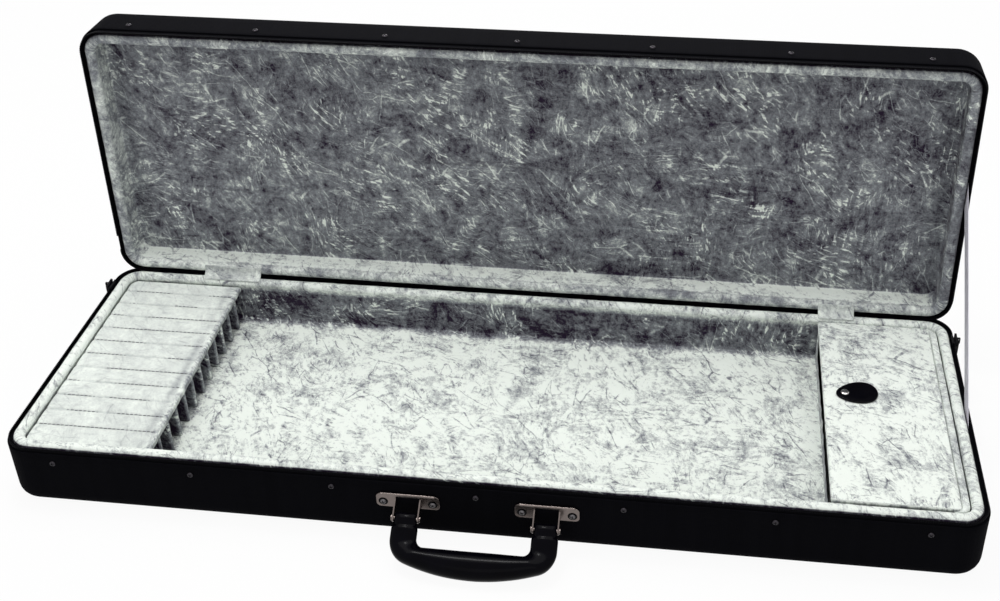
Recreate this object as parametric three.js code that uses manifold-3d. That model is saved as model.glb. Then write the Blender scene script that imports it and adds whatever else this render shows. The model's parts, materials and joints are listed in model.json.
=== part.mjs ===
// Case for twelve bows, lid open, in millimetres. X runs along the case, Y from front to back, Z up.
// The origin lies under the base, midway along it and midway across it.
import * as THREE from "three";
import { mergeVertices } from "three/addons/utils/BufferGeometryUtils.js";
import Module from "manifold-3d";

const wasm = await Module();
wasm.setup();

// Case body
const CASE_LENGTH = 820;
const CASE_WIDTH = 265;
const BASE_HEIGHT = 64;
const LID_HEIGHT = 52;
const CORNER_RADIUS = 24;
const EDGE_RADIUS = 14;
const TIGHTEST_CORNER = 2;
const LID_OPEN_DEG = 92;

// Fits and cuts
const CLEAR = 0.3;
const OVERRUN = 5;
const WELD = 0.001;

// Walls, from outside in: fabric cover, plywood shell, plush lining
const COVER_THICK = 1;
const COVER_EDGE_CHAMFER = 0.5;
const SHELL_THICK = 4;
const LEDGE_DROP = 5;
const WALL_PAD = 7.6;
const ROLL_WIDTH = 9.6;
const ROLL_OVERHANG = 0.7;
const ROLL_GAP = 0.4;
const BASE_FLOOR_PAD = 12.4;
const LID_PANEL_PAD = 18.4;
const FLOOR_FILLET = 3;
const LID_PANEL_CROWN = 2;
const LID_CROWN_RUN = 34;

// Zip
const CHAIN_THICK = 1.5;
const CHAIN_MEET_GAP = 1.3;
const CHAIN_END_INSET = 26.5;
const SLIDER_END_GAP = 2;
const SLIDER_LENGTH = 12;
const SLIDER_OUTER_REACH = 0.9;
const SLIDER_OUTER_HALF = 3.4;
const SLIDER_INNER_THICK = 0.6;
const SLIDER_INNER_HALF = 2.8;
const SLIDER_BRIDGE_HALF = 1;
const BAIL_WIDTH = 2;
const BAIL_WIRE = 0.8;
const BAIL_HALF_HEIGHT = 2.8;
const PULL_BAR_RADIUS = 0.6;
const PULL_BAR_OUT = 1;
const PULL_WIDTH = 7;
const PULL_THICK = 1.2;
const PULL_LENGTH = 25;
const PULL_WINDOW = 4.6;
const PULL_TIP_RADIUS = 2.4;

// Hinges and the fabric over them
const HINGE_INSET = 4.4;
const BARREL_RADIUS = 2;
const HINGE_PIN_RADIUS = 0.9;
const LEAF_THICK = 1;
const LEAF_DROP = 24;
const LEFT_HINGE_INSET = 117.5;
const LEFT_PATCH_WIDTH = 58;
const LEFT_LEAF_WIDTH = 44;
const RIGHT_HINGE_INSET = 108;
const RIGHT_PATCH_WIDTH = 34;
const RIGHT_LEAF_WIDTH = 26;
const KNUCKLE_share = 0.36;
const PATCH_THICK = 0.6;
const PATCH_REACH = 8.4;
const PATCH_FILLET = 8;
const SPINE_LEFT_INSET = 25;
const SPINE_RIGHT_INSET = 37;
const SPINE_THICK = 0.8;
const SPINE_LEG = 17;

// Lid stay ribbon
const STAY_INSET = 4.1;
const STAY_THICK = 0.4;
const STAY_WIDTH = 16;
const STAY_FOOT_REACH = 133.7;
const STAY_TOP_REACH = 135;

// Tip block, at the left
const SLAB_DROP = 7;
const SLAB_THICK = 5;
const SLAB_LENGTH = 112.2;
const SLAB_EDGE_ROUND = 1.6;
const BLOCK_INSET = 14.8;
const CHANNEL_DEPTH = 1.4;
const DIVIDER_BACK_INSET = 31.7;
const DIVIDER_FRONT_INSET = 39.3;
const DIVIDER_COUNT = 11;
const DIVIDER_THICK = 4.7;
const DIVIDER_SETBACK = 0.6;
const DIVIDER_END_INSET = 20;

// Frog block, at the right
const COMB_SETBACK = 1;
const COMB_THICK = 14;
const COMB_EDGE_ROUND = 1.2;
const COMB_END_TOOTH = 4;
const REST_INSET = 15.8;
const NOTCH_WIDTH = 10;
const NOTCH_DEPTH = 22;
const LEDGE_WIDTH = 5.9;
const FLAP_OVER_LEDGE = 0.5;
const BOARD_THICK = 2.4;
const FLAP_WIDTH = 102.7;
const FLAP_FRONT_INSET = 18;
const FLAP_BACK_INSET = 15.3;
const FLAP_DROP = 3;
const FLAP_THICK = 4;
const FLAP_CORNER = 5;
const FLAP_EDGE_ROUND = 1.3;
const FLAP_CROWN = 0.8;
const FLAP_CROWN_RUN = 14;

// Pull tab of the flap, turning on its rivet
const RIVET_SETBACK = 18.5;
const RIVET_FROM_BACK = 103.9;
const RIVET_HEAD_RADIUS = 3.6;
const RIVET_HEAD_RISE = 1.1;
const RIVET_SHANK_RADIUS = 2;
const TAB_NARROW_RADIUS = 7.5;
const TAB_WIDE_RADIUS = 15.5;
const TAB_CENTRES = 14;
const TAB_THICK = 2.2;
const TAB_BEVEL = 0.4;
const TAB_TURN_DEG = 10;

// Screws along the front walls
const COVER_SCREW_COUNT = 7;
const COVER_SCREW_END_INSET = 47.6;
const COVER_SCREW_DROP = 14.5;
const LID_SCREW_SHIFT = -1;
const SCREW_HEAD_RADIUS = 2.6;
const SCREW_HEAD_RISE = 1.5;
const SCREW_SHANK_RADIUS = 1;
const SCREW_SHANK_LENGTH = 4.6;

// Handle and its brackets
const HANDLE_X = 1;
const BRACKET_SPACING = 115.4;
const PLATE_TOP_DROP = 16.6;
const PLATE_WIDTH = 53;
const PLATE_HEIGHT = 14;
const PLATE_THICK = 1.2;
const PLATE_CORNER = 5.6;
const PLATE_BRIDGE = 2.4;
const PLATE_ROLL_RADIUS = 1.1;
const PLATE_ROLL_INSET = 3.4;
const BRACKET_SCREW_SPACING = 41.4;
const BRACKET_SCREW_RISE = 5.6;
const EAR_SPACING = 20.8;
const EAR_THICK = 1.2;
const EAR_END_RADIUS = 3.2;
const EAR_ROOT_INSET = 3.8;
const EAR_ROOT_RISE = 1;
const PIN_OUT = 12;
const PIN_DROP = 1.4;
const PIN_RADIUS = 1.5;
const PIN_HEAD_RADIUS = 2.4;
const PIN_HEAD_THICK = 0.8;
const HANDLE_REACH = 44.4;
const HANDLE_SAG_RADIUS = 175;
const HANDLE_OUTER_CORNER = 20;
const HANDLE_INNER_CORNER = 6;
const HANDLE_REST_DEG = 37.5;
const HANDLE_EYE_RADIUS = 5;
const HANDLE_ROOT_THICK = 8.6;
const HANDLE_ARM_WIDTH = 22;
const HANDLE_ARM_THICK = 11;
const HANDLE_ARM_START = 9;
const HANDLE_GRIP_WIDTH = 22.8;
const HANDLE_GRIP_THICK = 21;
const HANDLE_SQUARENESS = 2.5;

// Fineness of curves
const CORNER_STEPS = 6;
const EDGE_STEPS = 4;
const ROLL_STEPS = 8;
const FILLET_STEPS = 2;
const ROUND_SIDES = 12;
const HOLE_SIDES = 8;
const BARREL_SIDES = 14;
const GRIP_SIDES = 14;
const BEND_STEPS = 5;
const GRIP_STEPS = 3;
const NOTCH_STEPS = 6;
const ARC_STEPS = 10;

// Places that follow from the sizes above
const degrees = Math.PI / 180;
const halfLength = CASE_LENGTH / 2;
const halfWidth = CASE_WIDTH / 2;
const frontY = -halfWidth;
const shellInset = COVER_THICK + CLEAR;
const shellInner = shellInset + SHELL_THICK;
const liningInset = shellInner + CLEAR;
const wallInner = liningInset + WALL_PAD;
const rollStart = liningInset - ROLL_OVERHANG;
const rollMiddle = rollStart + ROLL_WIDTH / 2;
const rollRise = LEDGE_DROP - CLEAR - ROLL_GAP;
const shellDrop = LEDGE_DROP + COVER_THICK + CLEAR;
const baseFloor = liningInset + BASE_FLOOR_PAD;
const lidPanel = liningInset + LID_PANEL_PAD;
const hingeY = halfWidth - HINGE_INSET;
const lidOpen = LID_OPEN_DEG * degrees;
const chainEndY = halfWidth - CHAIN_END_INSET;
const sliderParkY = chainEndY - SLIDER_END_GAP - SLIDER_LENGTH / 2;
const leftHingeX = LEFT_HINGE_INSET - halfLength;
const rightHingeX = halfLength - RIGHT_HINGE_INSET;
const slabTop = BASE_HEIGHT - SLAB_DROP;
const slabLeftX = BLOCK_INSET - halfLength;
const slabRightX = slabLeftX + SLAB_LENGTH;
const dividerFirstY = halfWidth - DIVIDER_BACK_INSET;
const dividerRun = CASE_WIDTH - DIVIDER_BACK_INSET - DIVIDER_FRONT_INSET;
const dividerPitch = dividerRun / (DIVIDER_COUNT - 1);
const ledgeLeftX = halfLength - REST_INSET - LEDGE_WIDTH;
const flapRightX = ledgeLeftX - 2 * CLEAR;
const flapLeftX = flapRightX - FLAP_WIDTH;
const flapFrontY = frontY + FLAP_FRONT_INSET;
const flapBackY = halfWidth - FLAP_BACK_INSET;
const flapTop = BASE_HEIGHT - FLAP_DROP;
const ledgeTop = flapTop - FLAP_OVER_LEDGE;
const combLeftX = flapLeftX + COMB_SETBACK;
const rivetX = flapLeftX + RIVET_SETBACK;
const rivetY = flapBackY - RIVET_FROM_BACK;
const coverScrewPitch = (CASE_LENGTH - 2 * COVER_SCREW_END_INSET) / (COVER_SCREW_COUNT - 1);
const plateTop = BASE_HEIGHT - PLATE_TOP_DROP;
const plateBottom = plateTop - PLATE_HEIGHT;
const bracketScrewZ = plateBottom + BRACKET_SCREW_RISE;
const pinZ = plateBottom - PIN_DROP;

// Materials
function material(color, roughness, metalness) {
  return new THREE.MeshStandardMaterial({ color, roughness, metalness });
}
const blackFabric = material(0x16161a, 0.75, 0);
const plywood = material(0x8a6b45, 0.8, 0);
const plush = material(0xb9bcbd, 0.85, 0);
const plushEdge = material(0xcfd2d2, 0.85, 0);
const nickel = material(0xc8c3c0, 0.25, 1);
const zinc = material(0xa5a5a8, 0.35, 1);
const blackMetal = material(0x1c1c1e, 0.4, 1);
const blackPlastic = material(0x0e0e10, 0.25, 0);
const blackLeather = material(0x151416, 0.5, 0);
const ribbon = material(0x8d8790, 0.8, 0);

// Turns the faces of a closed geometry outwards
function outward(geometry) {
  const flat = geometry.index ? geometry.toNonIndexed() : geometry.clone();
  const at = flat.getAttribute("position");
  const a = new THREE.Vector3();
  const b = new THREE.Vector3();
  const c = new THREE.Vector3();
  let volume = 0;
  for (let i = 0; i < at.count; i += 3) {
    a.fromBufferAttribute(at, i);
    b.fromBufferAttribute(at, i + 1);
    c.fromBufferAttribute(at, i + 2);
    volume += a.dot(b.cross(c));
  }
  if (volume < 0) {
    for (let i = 0; i < at.count; i += 3) {
      b.fromBufferAttribute(at, i + 1);
      c.fromBufferAttribute(at, i + 2);
      at.setXYZ(i + 1, c.x, c.y, c.z);
      at.setXYZ(i + 2, b.x, b.y, b.z);
    }
  }
  const out = new THREE.BufferGeometry();
  out.setAttribute("position", at);
  return out;
}

// A geometry as a solid for joining and cutting, and back again
function solidOf(geometry) {
  const merged = mergeVertices(outward(geometry), WELD);
  const mesh = new wasm.Mesh({
    numProp: 3,
    vertProperties: merged.getAttribute("position").array,
    triVerts: new Uint32Array(merged.index.array),
  });
  return new wasm.Manifold(mesh);
}

function geometryOf(solid) {
  const mesh = solid.getMesh();
  const geometry = new THREE.BufferGeometry();
  geometry.setAttribute("position", new THREE.BufferAttribute(mesh.vertProperties.slice(), 3));
  geometry.setIndex(new THREE.BufferAttribute(mesh.triVerts.slice(), 1));
  return geometry.toNonIndexed();
}

function cut(geometry, cutters) {
  let solid = solidOf(geometry);
  for (const cutter of cutters) {
    solid = solid.subtract(solidOf(cutter));
  }
  return geometryOf(solid);
}

function join(geometries) {
  let solid = solidOf(geometries[0]);
  for (const geometry of geometries.slice(1)) {
    solid = solid.add(solidOf(geometry));
  }
  return geometryOf(solid);
}

function trim(geometry, keeper) {
  return geometryOf(solidOf(geometry).intersect(solidOf(keeper)));
}

function mesh(name, geometry, look) {
  const shaped = outward(geometry);
  shaped.computeVertexNormals();
  const piece = new THREE.Mesh(shaped, look);
  piece.name = name;
  return piece;
}

// Points of an arc in a plane, both ends included
function arc(across, up, radius, fromDeg, toDeg, steps, radiusUp = radius) {
  const points = [];
  for (let i = 0; i <= steps; i++) {
    const angle = (fromDeg + ((toDeg - fromDeg) * i) / steps) * degrees;
    points.push([across + radius * Math.cos(angle), up + radiusUp * Math.sin(angle)]);
  }
  return points;
}

// Skin over rings of points, with flat ends
function loft(rings) {
  const count = rings[0].length;
  const points = rings.flat();
  const faces = [];
  for (let i = 0; i + 1 < rings.length; i++) {
    for (let j = 0; j < count; j++) {
      const k = (j + 1) % count;
      const a = i * count;
      const b = a + count;
      faces.push(a + j, a + k, b + k, a + j, b + k, b + j);
    }
  }
  addEnd(rings[0], 0, faces, true);
  addEnd(rings[rings.length - 1], (rings.length - 1) * count, faces, false);
  const geometry = new THREE.BufferGeometry();
  geometry.setAttribute("position", new THREE.Float32BufferAttribute(points.flat(), 3));
  geometry.setIndex(faces);
  return outward(geometry);
}

// Flat end of a loft, seen along the axis that its normal is nearest to
function addEnd(ring, first, faces, reversed) {
  const normal = new THREE.Vector3();
  for (let i = 0; i < ring.length; i++) {
    const p = new THREE.Vector3(...ring[i]);
    const q = new THREE.Vector3(...ring[(i + 1) % ring.length]);
    normal.add(p.cross(q));
  }
  const sizes = normal.toArray().map(Math.abs);
  const axis = sizes.indexOf(Math.max(...sizes));
  const u = (axis + 1) % 3;
  const v = (axis + 2) % 3;
  const outline = ring.map((p) => new THREE.Vector2(p[u], p[v]));
  const turnedOver = THREE.ShapeUtils.area(outline) < 0;
  const seen = normal.getComponent(axis) < 0;
  for (const [a, b, c] of THREE.ShapeUtils.triangulateShape(outline, [])) {
    const ordered = faceFollowsRing(ring.length, a, b, c) !== turnedOver ? [a, b, c] : [a, c, b];
    const face = seen === turnedOver ? ordered : [ordered[0], ordered[2], ordered[1]];
    if (turnedOver) {
      face.reverse();
    }
    if (reversed) {
      face.reverse();
    }
    faces.push(face[0] + first, face[1] + first, face[2] + first);
  }
}

function faceFollowsRing(count, a, b, c) {
  return (b - a + count) % count < (c - a + count) % count;
}

// Rounded rectangle of points at a height
function roundedRing(halfX, halfY, radius, z, middleX = 0, middleY = 0) {
  const points = [];
  const turns = [
    [1, 1, 0],
    [-1, 1, 90],
    [-1, -1, 180],
    [1, -1, 270],
  ];
  for (const [sideX, sideY, start] of turns) {
    const cornerX = middleX + sideX * (halfX - radius);
    const cornerY = middleY + sideY * (halfY - radius);
    for (const [x, y] of arc(cornerX, cornerY, radius, start, start + 90, CORNER_STEPS)) {
      points.push([x, y, z]);
    }
  }
  return points;
}

// Ring of the case's own outline, moved in from the outer face
function caseRing(inset, z) {
  const radius = Math.max(CORNER_RADIUS - inset, TIGHTEST_CORNER);
  return roundedRing(halfLength - inset, halfWidth - inset, radius, z);
}

function tray(profile) {
  return loft(profile.map(([inset, z]) => caseRing(inset, z)));
}

// Flat outline pushed along an axis: for x it is drawn in y and z, for y in x and z, for z in x and y
function prism(axis, outline, from, to, holes = [], bevel = 0) {
  const drawn = (points, clockwise) => {
    const flat = points.map(([a, b]) => new THREE.Vector2(a, b));
    return THREE.ShapeUtils.isClockWise(flat) === clockwise ? flat : flat.reverse();
  };
  const shape = new THREE.Shape(drawn(outline, false));
  for (const hole of holes) {
    shape.holes.push(new THREE.Path(drawn(hole, true)));
  }
  const geometry = new THREE.ExtrudeGeometry(shape, {
    depth: to - from - 2 * bevel,
    bevelEnabled: bevel > 0,
    bevelThickness: bevel,
    bevelSize: bevel,
    bevelOffset: -bevel,
    bevelSegments: 1,
  });
  geometry.translate(0, 0, from + bevel);
  const place = new THREE.Matrix4();
  const [x, y, z] = [
    new THREE.Vector3(1, 0, 0),
    new THREE.Vector3(0, 1, 0),
    new THREE.Vector3(0, 0, 1),
  ];
  if (axis === "x") {
    place.makeBasis(y, z, x);
  }
  if (axis === "y") {
    place.makeBasis(x, z, y);
  }
  return outward(geometry.applyMatrix4(place));
}

function block(x0, x1, y0, y1, z0, z1) {
  const geometry = new THREE.BoxGeometry(x1 - x0, y1 - y0, z1 - z0);
  return geometry.translate((x0 + x1) / 2, (y0 + y1) / 2, (z0 + z1) / 2);
}

// Round bar along x or y
function bar(axis, radius, from, to, middle, sides) {
  const geometry = new THREE.CylinderGeometry(radius, radius, to - from, sides);
  if (axis === "x") {
    geometry.rotateZ(Math.PI / 2);
    return geometry.translate((from + to) / 2, middle[0], middle[1]);
  }
  return geometry.translate(middle[0], (from + to) / 2, middle[1]);
}

function turned(profile, sides) {
  return new THREE.LatheGeometry(profile.map(([r, h]) => new THREE.Vector2(r, h)), sides);
}

// Profiles of the trays that make each half, from under the floor round the rim to the top of the floor
function coverProfile(height) {
  const top = height - LEDGE_DROP;
  return [
    ...arc(EDGE_RADIUS, EDGE_RADIUS, EDGE_RADIUS, 270, 180, EDGE_STEPS),
    [0, top - COVER_EDGE_CHAMFER],
    [COVER_EDGE_CHAMFER, top],
    [shellInner, top],
    [shellInner, top - COVER_THICK],
    [COVER_THICK, top - COVER_THICK],
    ...arc(EDGE_RADIUS, EDGE_RADIUS, EDGE_RADIUS - COVER_THICK, 180, 270, EDGE_STEPS),
  ];
}

function shellProfile(height) {
  const top = height - shellDrop;
  return [
    ...arc(EDGE_RADIUS, EDGE_RADIUS, EDGE_RADIUS - shellInset, 270, 180, EDGE_STEPS),
    [shellInset, top],
    [shellInner, top],
    ...arc(EDGE_RADIUS, EDGE_RADIUS, EDGE_RADIUS - shellInner, 180, 270, EDGE_STEPS),
  ];
}

function liningProfile(height, floorTop, crown) {
  const rollZ = height - LEDGE_DROP + CLEAR;
  const half = ROLL_WIDTH / 2;
  const tuckDeg = -Math.acos((wallInner - rollMiddle) / half) / degrees;
  const profile = [
    ...arc(EDGE_RADIUS, EDGE_RADIUS, EDGE_RADIUS - liningInset, 270, 180, EDGE_STEPS),
    [liningInset, rollZ],
    ...arc(rollMiddle, rollZ, half, 180, 0, ROLL_STEPS, rollRise),
    ...arc(rollMiddle, rollZ, half, 0, tuckDeg, FILLET_STEPS, rollRise).slice(1),
    ...arc(wallInner + FLOOR_FILLET, floorTop + FLOOR_FILLET, FLOOR_FILLET, 180, 270, FILLET_STEPS),
  ];
  if (crown > 0) {
    profile.push([wallInner + FLOOR_FILLET + LID_CROWN_RUN, floorTop + crown]);
  }
  return profile;
}

// Half of the zip: a strip on the ledge along the front and both ends
function zipChain(height) {
  const bottom = height - LEDGE_DROP + CLEAR;
  const top = height - CHAIN_MEET_GAP;
  const path = (inset) => {
    const radius = CORNER_RADIUS - inset;
    const x = halfLength - CORNER_RADIUS;
    const y = frontY + CORNER_RADIUS;
    return [
      [inset - halfLength, chainEndY],
      ...arc(-x, y, radius, 180, 270, CORNER_STEPS),
      ...arc(x, y, radius, 270, 360, CORNER_STEPS),
      [halfLength - inset, chainEndY],
    ];
  };
  const outer = path(shellInset);
  const inner = path(shellInset + CHAIN_THICK);
  return loft(
    outer.map(([x, y], i) => [
      [x, y, bottom],
      [inner[i][0], inner[i][1], bottom],
      [inner[i][0], inner[i][1], top],
      [x, y, top],
    ]),
  );
}

// Screw with a round head, its axis along y and its seat at y = 0
function roundScrew(x, z, seatY) {
  const profile = [
    [0, -SCREW_SHANK_LENGTH],
    [SCREW_SHANK_RADIUS, -SCREW_SHANK_LENGTH],
    [SCREW_SHANK_RADIUS, 0],
    [SCREW_HEAD_RADIUS, 0],
    ...arc(0, 0, SCREW_HEAD_RADIUS, 30, 90, 3, SCREW_HEAD_RISE),
  ];
  profile[profile.length - 1][0] = 0;
  return turned(profile, ROUND_SIDES).rotateX(Math.PI).translate(x, seatY, z);
}

function screwHole(x, z) {
  const radius = SCREW_SHANK_RADIUS + CLEAR;
  return bar("y", radius, frontY - OVERRUN, frontY + shellInner + CLEAR / 2, [x, z], HOLE_SIDES);
}

function coverScrewXs(shift) {
  const xs = [];
  for (let i = 0; i < COVER_SCREW_COUNT; i++) {
    xs.push(shift + coverScrewPitch * (i - (COVER_SCREW_COUNT - 1) / 2));
  }
  return xs;
}

// Room in the lining for a hinge leaf behind it and for the patch over its roll
function hingeRoom(x, leafWidth, patchWidth, height) {
  const leafHalf = leafWidth / 2 + CLEAR;
  const patchHalf = patchWidth / 2 + CLEAR;
  const leafInner = halfWidth - liningInset - LEAF_THICK - CLEAR;
  const leafBottom = height - shellDrop - LEAF_DROP - CLEAR;
  const patchBottom = height - ROLL_GAP - PATCH_THICK - CLEAR;
  const back = halfWidth + OVERRUN;
  return [
    block(x - leafHalf, x + leafHalf, leafInner, back, leafBottom, height + OVERRUN),
    block(x - patchHalf, x + patchHalf, halfWidth - BLOCK_INSET, back, patchBottom, height + OVERRUN),
  ];
}

function hingeRooms(height) {
  return [
    ...hingeRoom(leftHingeX, LEFT_LEAF_WIDTH, LEFT_PATCH_WIDTH, height),
    ...hingeRoom(rightHingeX, RIGHT_LEAF_WIDTH, RIGHT_PATCH_WIDTH, height),
  ];
}

// Leaf that hooks over the shell's edge, in the base's frame, seen from the hinge line
function leafPlate(x, width, bottomSide) {
  const flangeOuter = halfWidth - liningInset;
  const flangeInner = flangeOuter - LEAF_THICK;
  const bottom = BASE_HEIGHT - shellDrop - LEAF_DROP;
  const top = BASE_HEIGHT - BARREL_RADIUS + LEAF_THICK;
  const outline = [
    [flangeInner, bottom],
    [flangeOuter, bottom],
    [flangeOuter, top - LEAF_THICK],
    [hingeY, top - LEAF_THICK],
    [hingeY, top],
    [flangeInner, top],
  ];
  const turnedOver = outline.map(([y, z]) => [y, bottomSide ? z : 2 * BASE_HEIGHT - z]);
  return prism("x", turnedOver, x - width / 2, x + width / 2);
}

function baseLeaf(x, width) {
  const half = width / 2;
  const knuckle = width * KNUCKLE_share;
  const middle = [hingeY, BASE_HEIGHT];
  const room = width - 2 * knuckle;
  const plate = cut(leafPlate(x, width, true), [
    bar("x", BARREL_RADIUS + CLEAR, x - room / 2, x + room / 2, middle, BARREL_SIDES),
  ]);
  return join([
    plate,
    bar("x", BARREL_RADIUS, x - half, x - half + knuckle, middle, BARREL_SIDES),
    bar("x", BARREL_RADIUS, x + half - knuckle, x + half, middle, BARREL_SIDES),
    bar("x", HINGE_PIN_RADIUS, x - half, x + half, middle, BARREL_SIDES),
  ]);
}

function lidLeaf(x, width) {
  const half = width / 2;
  const room = width * (1 - 2 * KNUCKLE_share) - 2 * CLEAR;
  const middle = [hingeY, BASE_HEIGHT];
  const knuckle = bar("x", BARREL_RADIUS, x - room / 2, x + room / 2, middle, BARREL_SIDES);
  const clearRadius = BARREL_RADIUS + CLEAR;
  const plate = cut(leafPlate(x, width, false), [
    bar("x", clearRadius, x - half - OVERRUN, x - room / 2, middle, BARREL_SIDES),
    bar("x", clearRadius, x + room / 2, x + half + OVERRUN, middle, BARREL_SIDES),
  ]);
  return cut(join([plate, knuckle]), [
    bar("x", HINGE_PIN_RADIUS + CLEAR, x - half - OVERRUN, x + half + OVERRUN, middle, BARREL_SIDES),
  ]);
}

// A point of the closed lid, given from the hinge axis, at the opened lid's place
function opened(y, z) {
  const cos = Math.cos(-lidOpen);
  const sin = Math.sin(-lidOpen);
  return [hingeY + y * cos - z * sin, BASE_HEIGHT + y * sin + z * cos];
}

// Plush patch over a hinge: on the base's roll, round the corner and up the lid's roll
function hingePatch(x, width) {
  const flat = PATCH_FILLET + (ROLL_WIDTH - PATCH_REACH);
  const front = [];
  const back = [];
  const turn = 180 - LID_OPEN_DEG;
  const reachFront = PATCH_FILLET + ROLL_GAP;
  front.push([hingeY - flat, BASE_HEIGHT - ROLL_GAP]);
  back.push([hingeY - flat, BASE_HEIGHT - ROLL_GAP - PATCH_THICK]);
  const middleY = hingeY - PATCH_FILLET;
  const middleZ = BASE_HEIGHT + PATCH_FILLET;
  const outerRadius = reachFront + PATCH_THICK;
  for (const point of arc(middleY, middleZ, reachFront, 270, 360 + (turn - 90), ARC_STEPS)) {
    front.push(point);
  }
  for (const point of arc(middleY, middleZ, outerRadius, 270, 360 + (turn - 90), ARC_STEPS)) {
    back.push(point);
  }
  front.push(opened(-flat, ROLL_GAP));
  back.push(opened(-flat, ROLL_GAP + PATCH_THICK));
  return prism("x", [...front, ...back.reverse()], x - width / 2, x + width / 2);
}

// Fabric strip outside the hinge line, on the base's back and under the opened lid's back
function spine() {
  const near = HINGE_INSET + CLEAR;
  const far = near + SPINE_THICK;
  const legEnd = BASE_HEIGHT - LEDGE_DROP - SPINE_LEG;
  const turn = far + ROLL_GAP;
  const outline = [
    [hingeY + near, legEnd],
    [hingeY + far, legEnd],
    [hingeY + far, opened(far, turn)[1]],
    opened(far, LEDGE_DROP + SPINE_LEG),
    opened(near, LEDGE_DROP + SPINE_LEG),
    [hingeY + near, opened(near, near)[1]],
  ];
  return prism("x", outline, SPINE_LEFT_INSET - halfLength, halfLength - SPINE_RIGHT_INSET);
}

// Ribbon that holds the lid, from the base's ledge to the lid's ledge
function stay() {
  const outer = halfLength - STAY_INSET;
  const foot = [hingeY - STAY_FOOT_REACH, BASE_HEIGHT - LEDGE_DROP + CLEAR];
  const top = opened(-STAY_TOP_REACH, LEDGE_DROP - CLEAR);
  const along = new THREE.Vector2(top[0] - foot[0], top[1] - foot[1]);
  const footHalf = (STAY_WIDTH / 2) * (along.length() / along.y);
  const root = opened(0, LEDGE_DROP - CLEAR);
  const up = new THREE.Vector2(top[0] - root[0], top[1] - root[1]).normalize();
  const sine = Math.abs(along.clone().normalize().cross(up));
  const topHalf = STAY_WIDTH / 2 / sine;
  const outline = [
    [foot[0] - footHalf, foot[1]],
    [foot[0] + footHalf, foot[1]],
    [top[0] - up.x * topHalf, top[1] - up.y * topHalf],
    [top[0] + up.x * topHalf, top[1] + up.y * topHalf],
  ];
  return prism("x", outline, outer - STAY_THICK, outer);
}

// Padded top of the tip block, sewn down along each divider
function tipSlab() {
  const back = halfWidth - BLOCK_INSET;
  const seams = [-back];
  for (let i = DIVIDER_COUNT - 1; i >= 0; i--) {
    seams.push(dividerFirstY - dividerPitch * i);
  }
  seams.push(back);
  const acrossShares = [0, 0.08, 0.26, 0.5, 0.74, 0.92];
  const sinkShares = [1, 0.45, 0.1, 0, 0.1, 0.45];
  const crown = [];
  for (let i = 0; i + 1 < seams.length; i++) {
    acrossShares.forEach((share, j) => {
      crown.push([seams[i] + (seams[i + 1] - seams[i]) * share, CHANNEL_DEPTH * sinkShares[j]]);
    });
  }
  crown.push([back, CHANNEL_DEPTH]);
  const runs = [
    [slabLeftX - OVERRUN, 0],
    [slabRightX - SLAB_EDGE_ROUND, 0],
    [slabRightX - SLAB_EDGE_ROUND / 3, SLAB_EDGE_ROUND / 3],
    [slabRightX, SLAB_EDGE_ROUND],
  ];
  const bottom = slabTop - SLAB_THICK;
  const rings = runs.map(([x, lower]) => [
    [x, back, bottom],
    [x, -back, bottom],
    ...crown.map(([y, sink]) => [x, y, slabTop - lower - sink]),
  ]);
  const outline = loft([caseRing(BLOCK_INSET, bottom - OVERRUN), caseRing(BLOCK_INSET, slabTop + OVERRUN)]);
  return trim(loft(rings), outline);
}

function dividerY(i) {
  return dividerFirstY - dividerPitch * i;
}

// Card between two slots, with a rounded edge where the bows go in
function tipDivider(i) {
  const y = dividerY(i);
  const half = DIVIDER_THICK / 2;
  const left = DIVIDER_END_INSET - halfLength;
  const right = slabRightX - DIVIDER_SETBACK;
  const outline = [
    [left, y + half],
    [left, y - half],
    ...arc(right - half, y, half, -90, 90, NOTCH_STEPS),
  ];
  return prism("z", outline, baseFloor + CLEAR, slabTop - SLAB_THICK - CLEAR);
}

// Cross wall with a notch for the end of each bow
function frogRest() {
  const top = flapTop - FLAP_THICK - CLEAR;
  const bottom = baseFloor + CLEAR;
  const side = halfWidth - REST_INSET;
  const radius = NOTCH_WIDTH / 2;
  const outline = [
    [side, bottom],
    [side, top],
  ];
  for (let i = 0; i <= DIVIDER_COUNT; i++) {
    const y = Math.min(dividerY(i) + dividerPitch / 2, side - COMB_END_TOOTH - radius);
    outline.push([y + radius, top]);
    outline.push(...arc(y, top - NOTCH_DEPTH + radius, radius, 0, -180, NOTCH_STEPS));
    outline.push([y - radius, top]);
  }
  outline.push([-side, top], [-side, bottom]);
  return prism("x", outline, combLeftX, combLeftX + COMB_THICK, [], COMB_EDGE_ROUND);
}

// Board on the floor under the flap and the ledge along the right wall that carries the flap
function frogLedge() {
  const bottom = baseFloor + CLEAR;
  const side = halfWidth - REST_INSET;
  const left = combLeftX + COMB_THICK + CLEAR;
  const right = halfLength - REST_INSET;
  const outline = [
    [left, bottom],
    [right, bottom],
    [right, ledgeTop],
    [ledgeLeftX, ledgeTop],
    [ledgeLeftX, bottom + BOARD_THICK],
    [left, bottom + BOARD_THICK],
  ];
  const room = loft([caseRing(REST_INSET, bottom - OVERRUN), caseRing(REST_INSET, ledgeTop + OVERRUN)]);
  return trim(prism("y", outline, -side, side), room);
}

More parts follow.
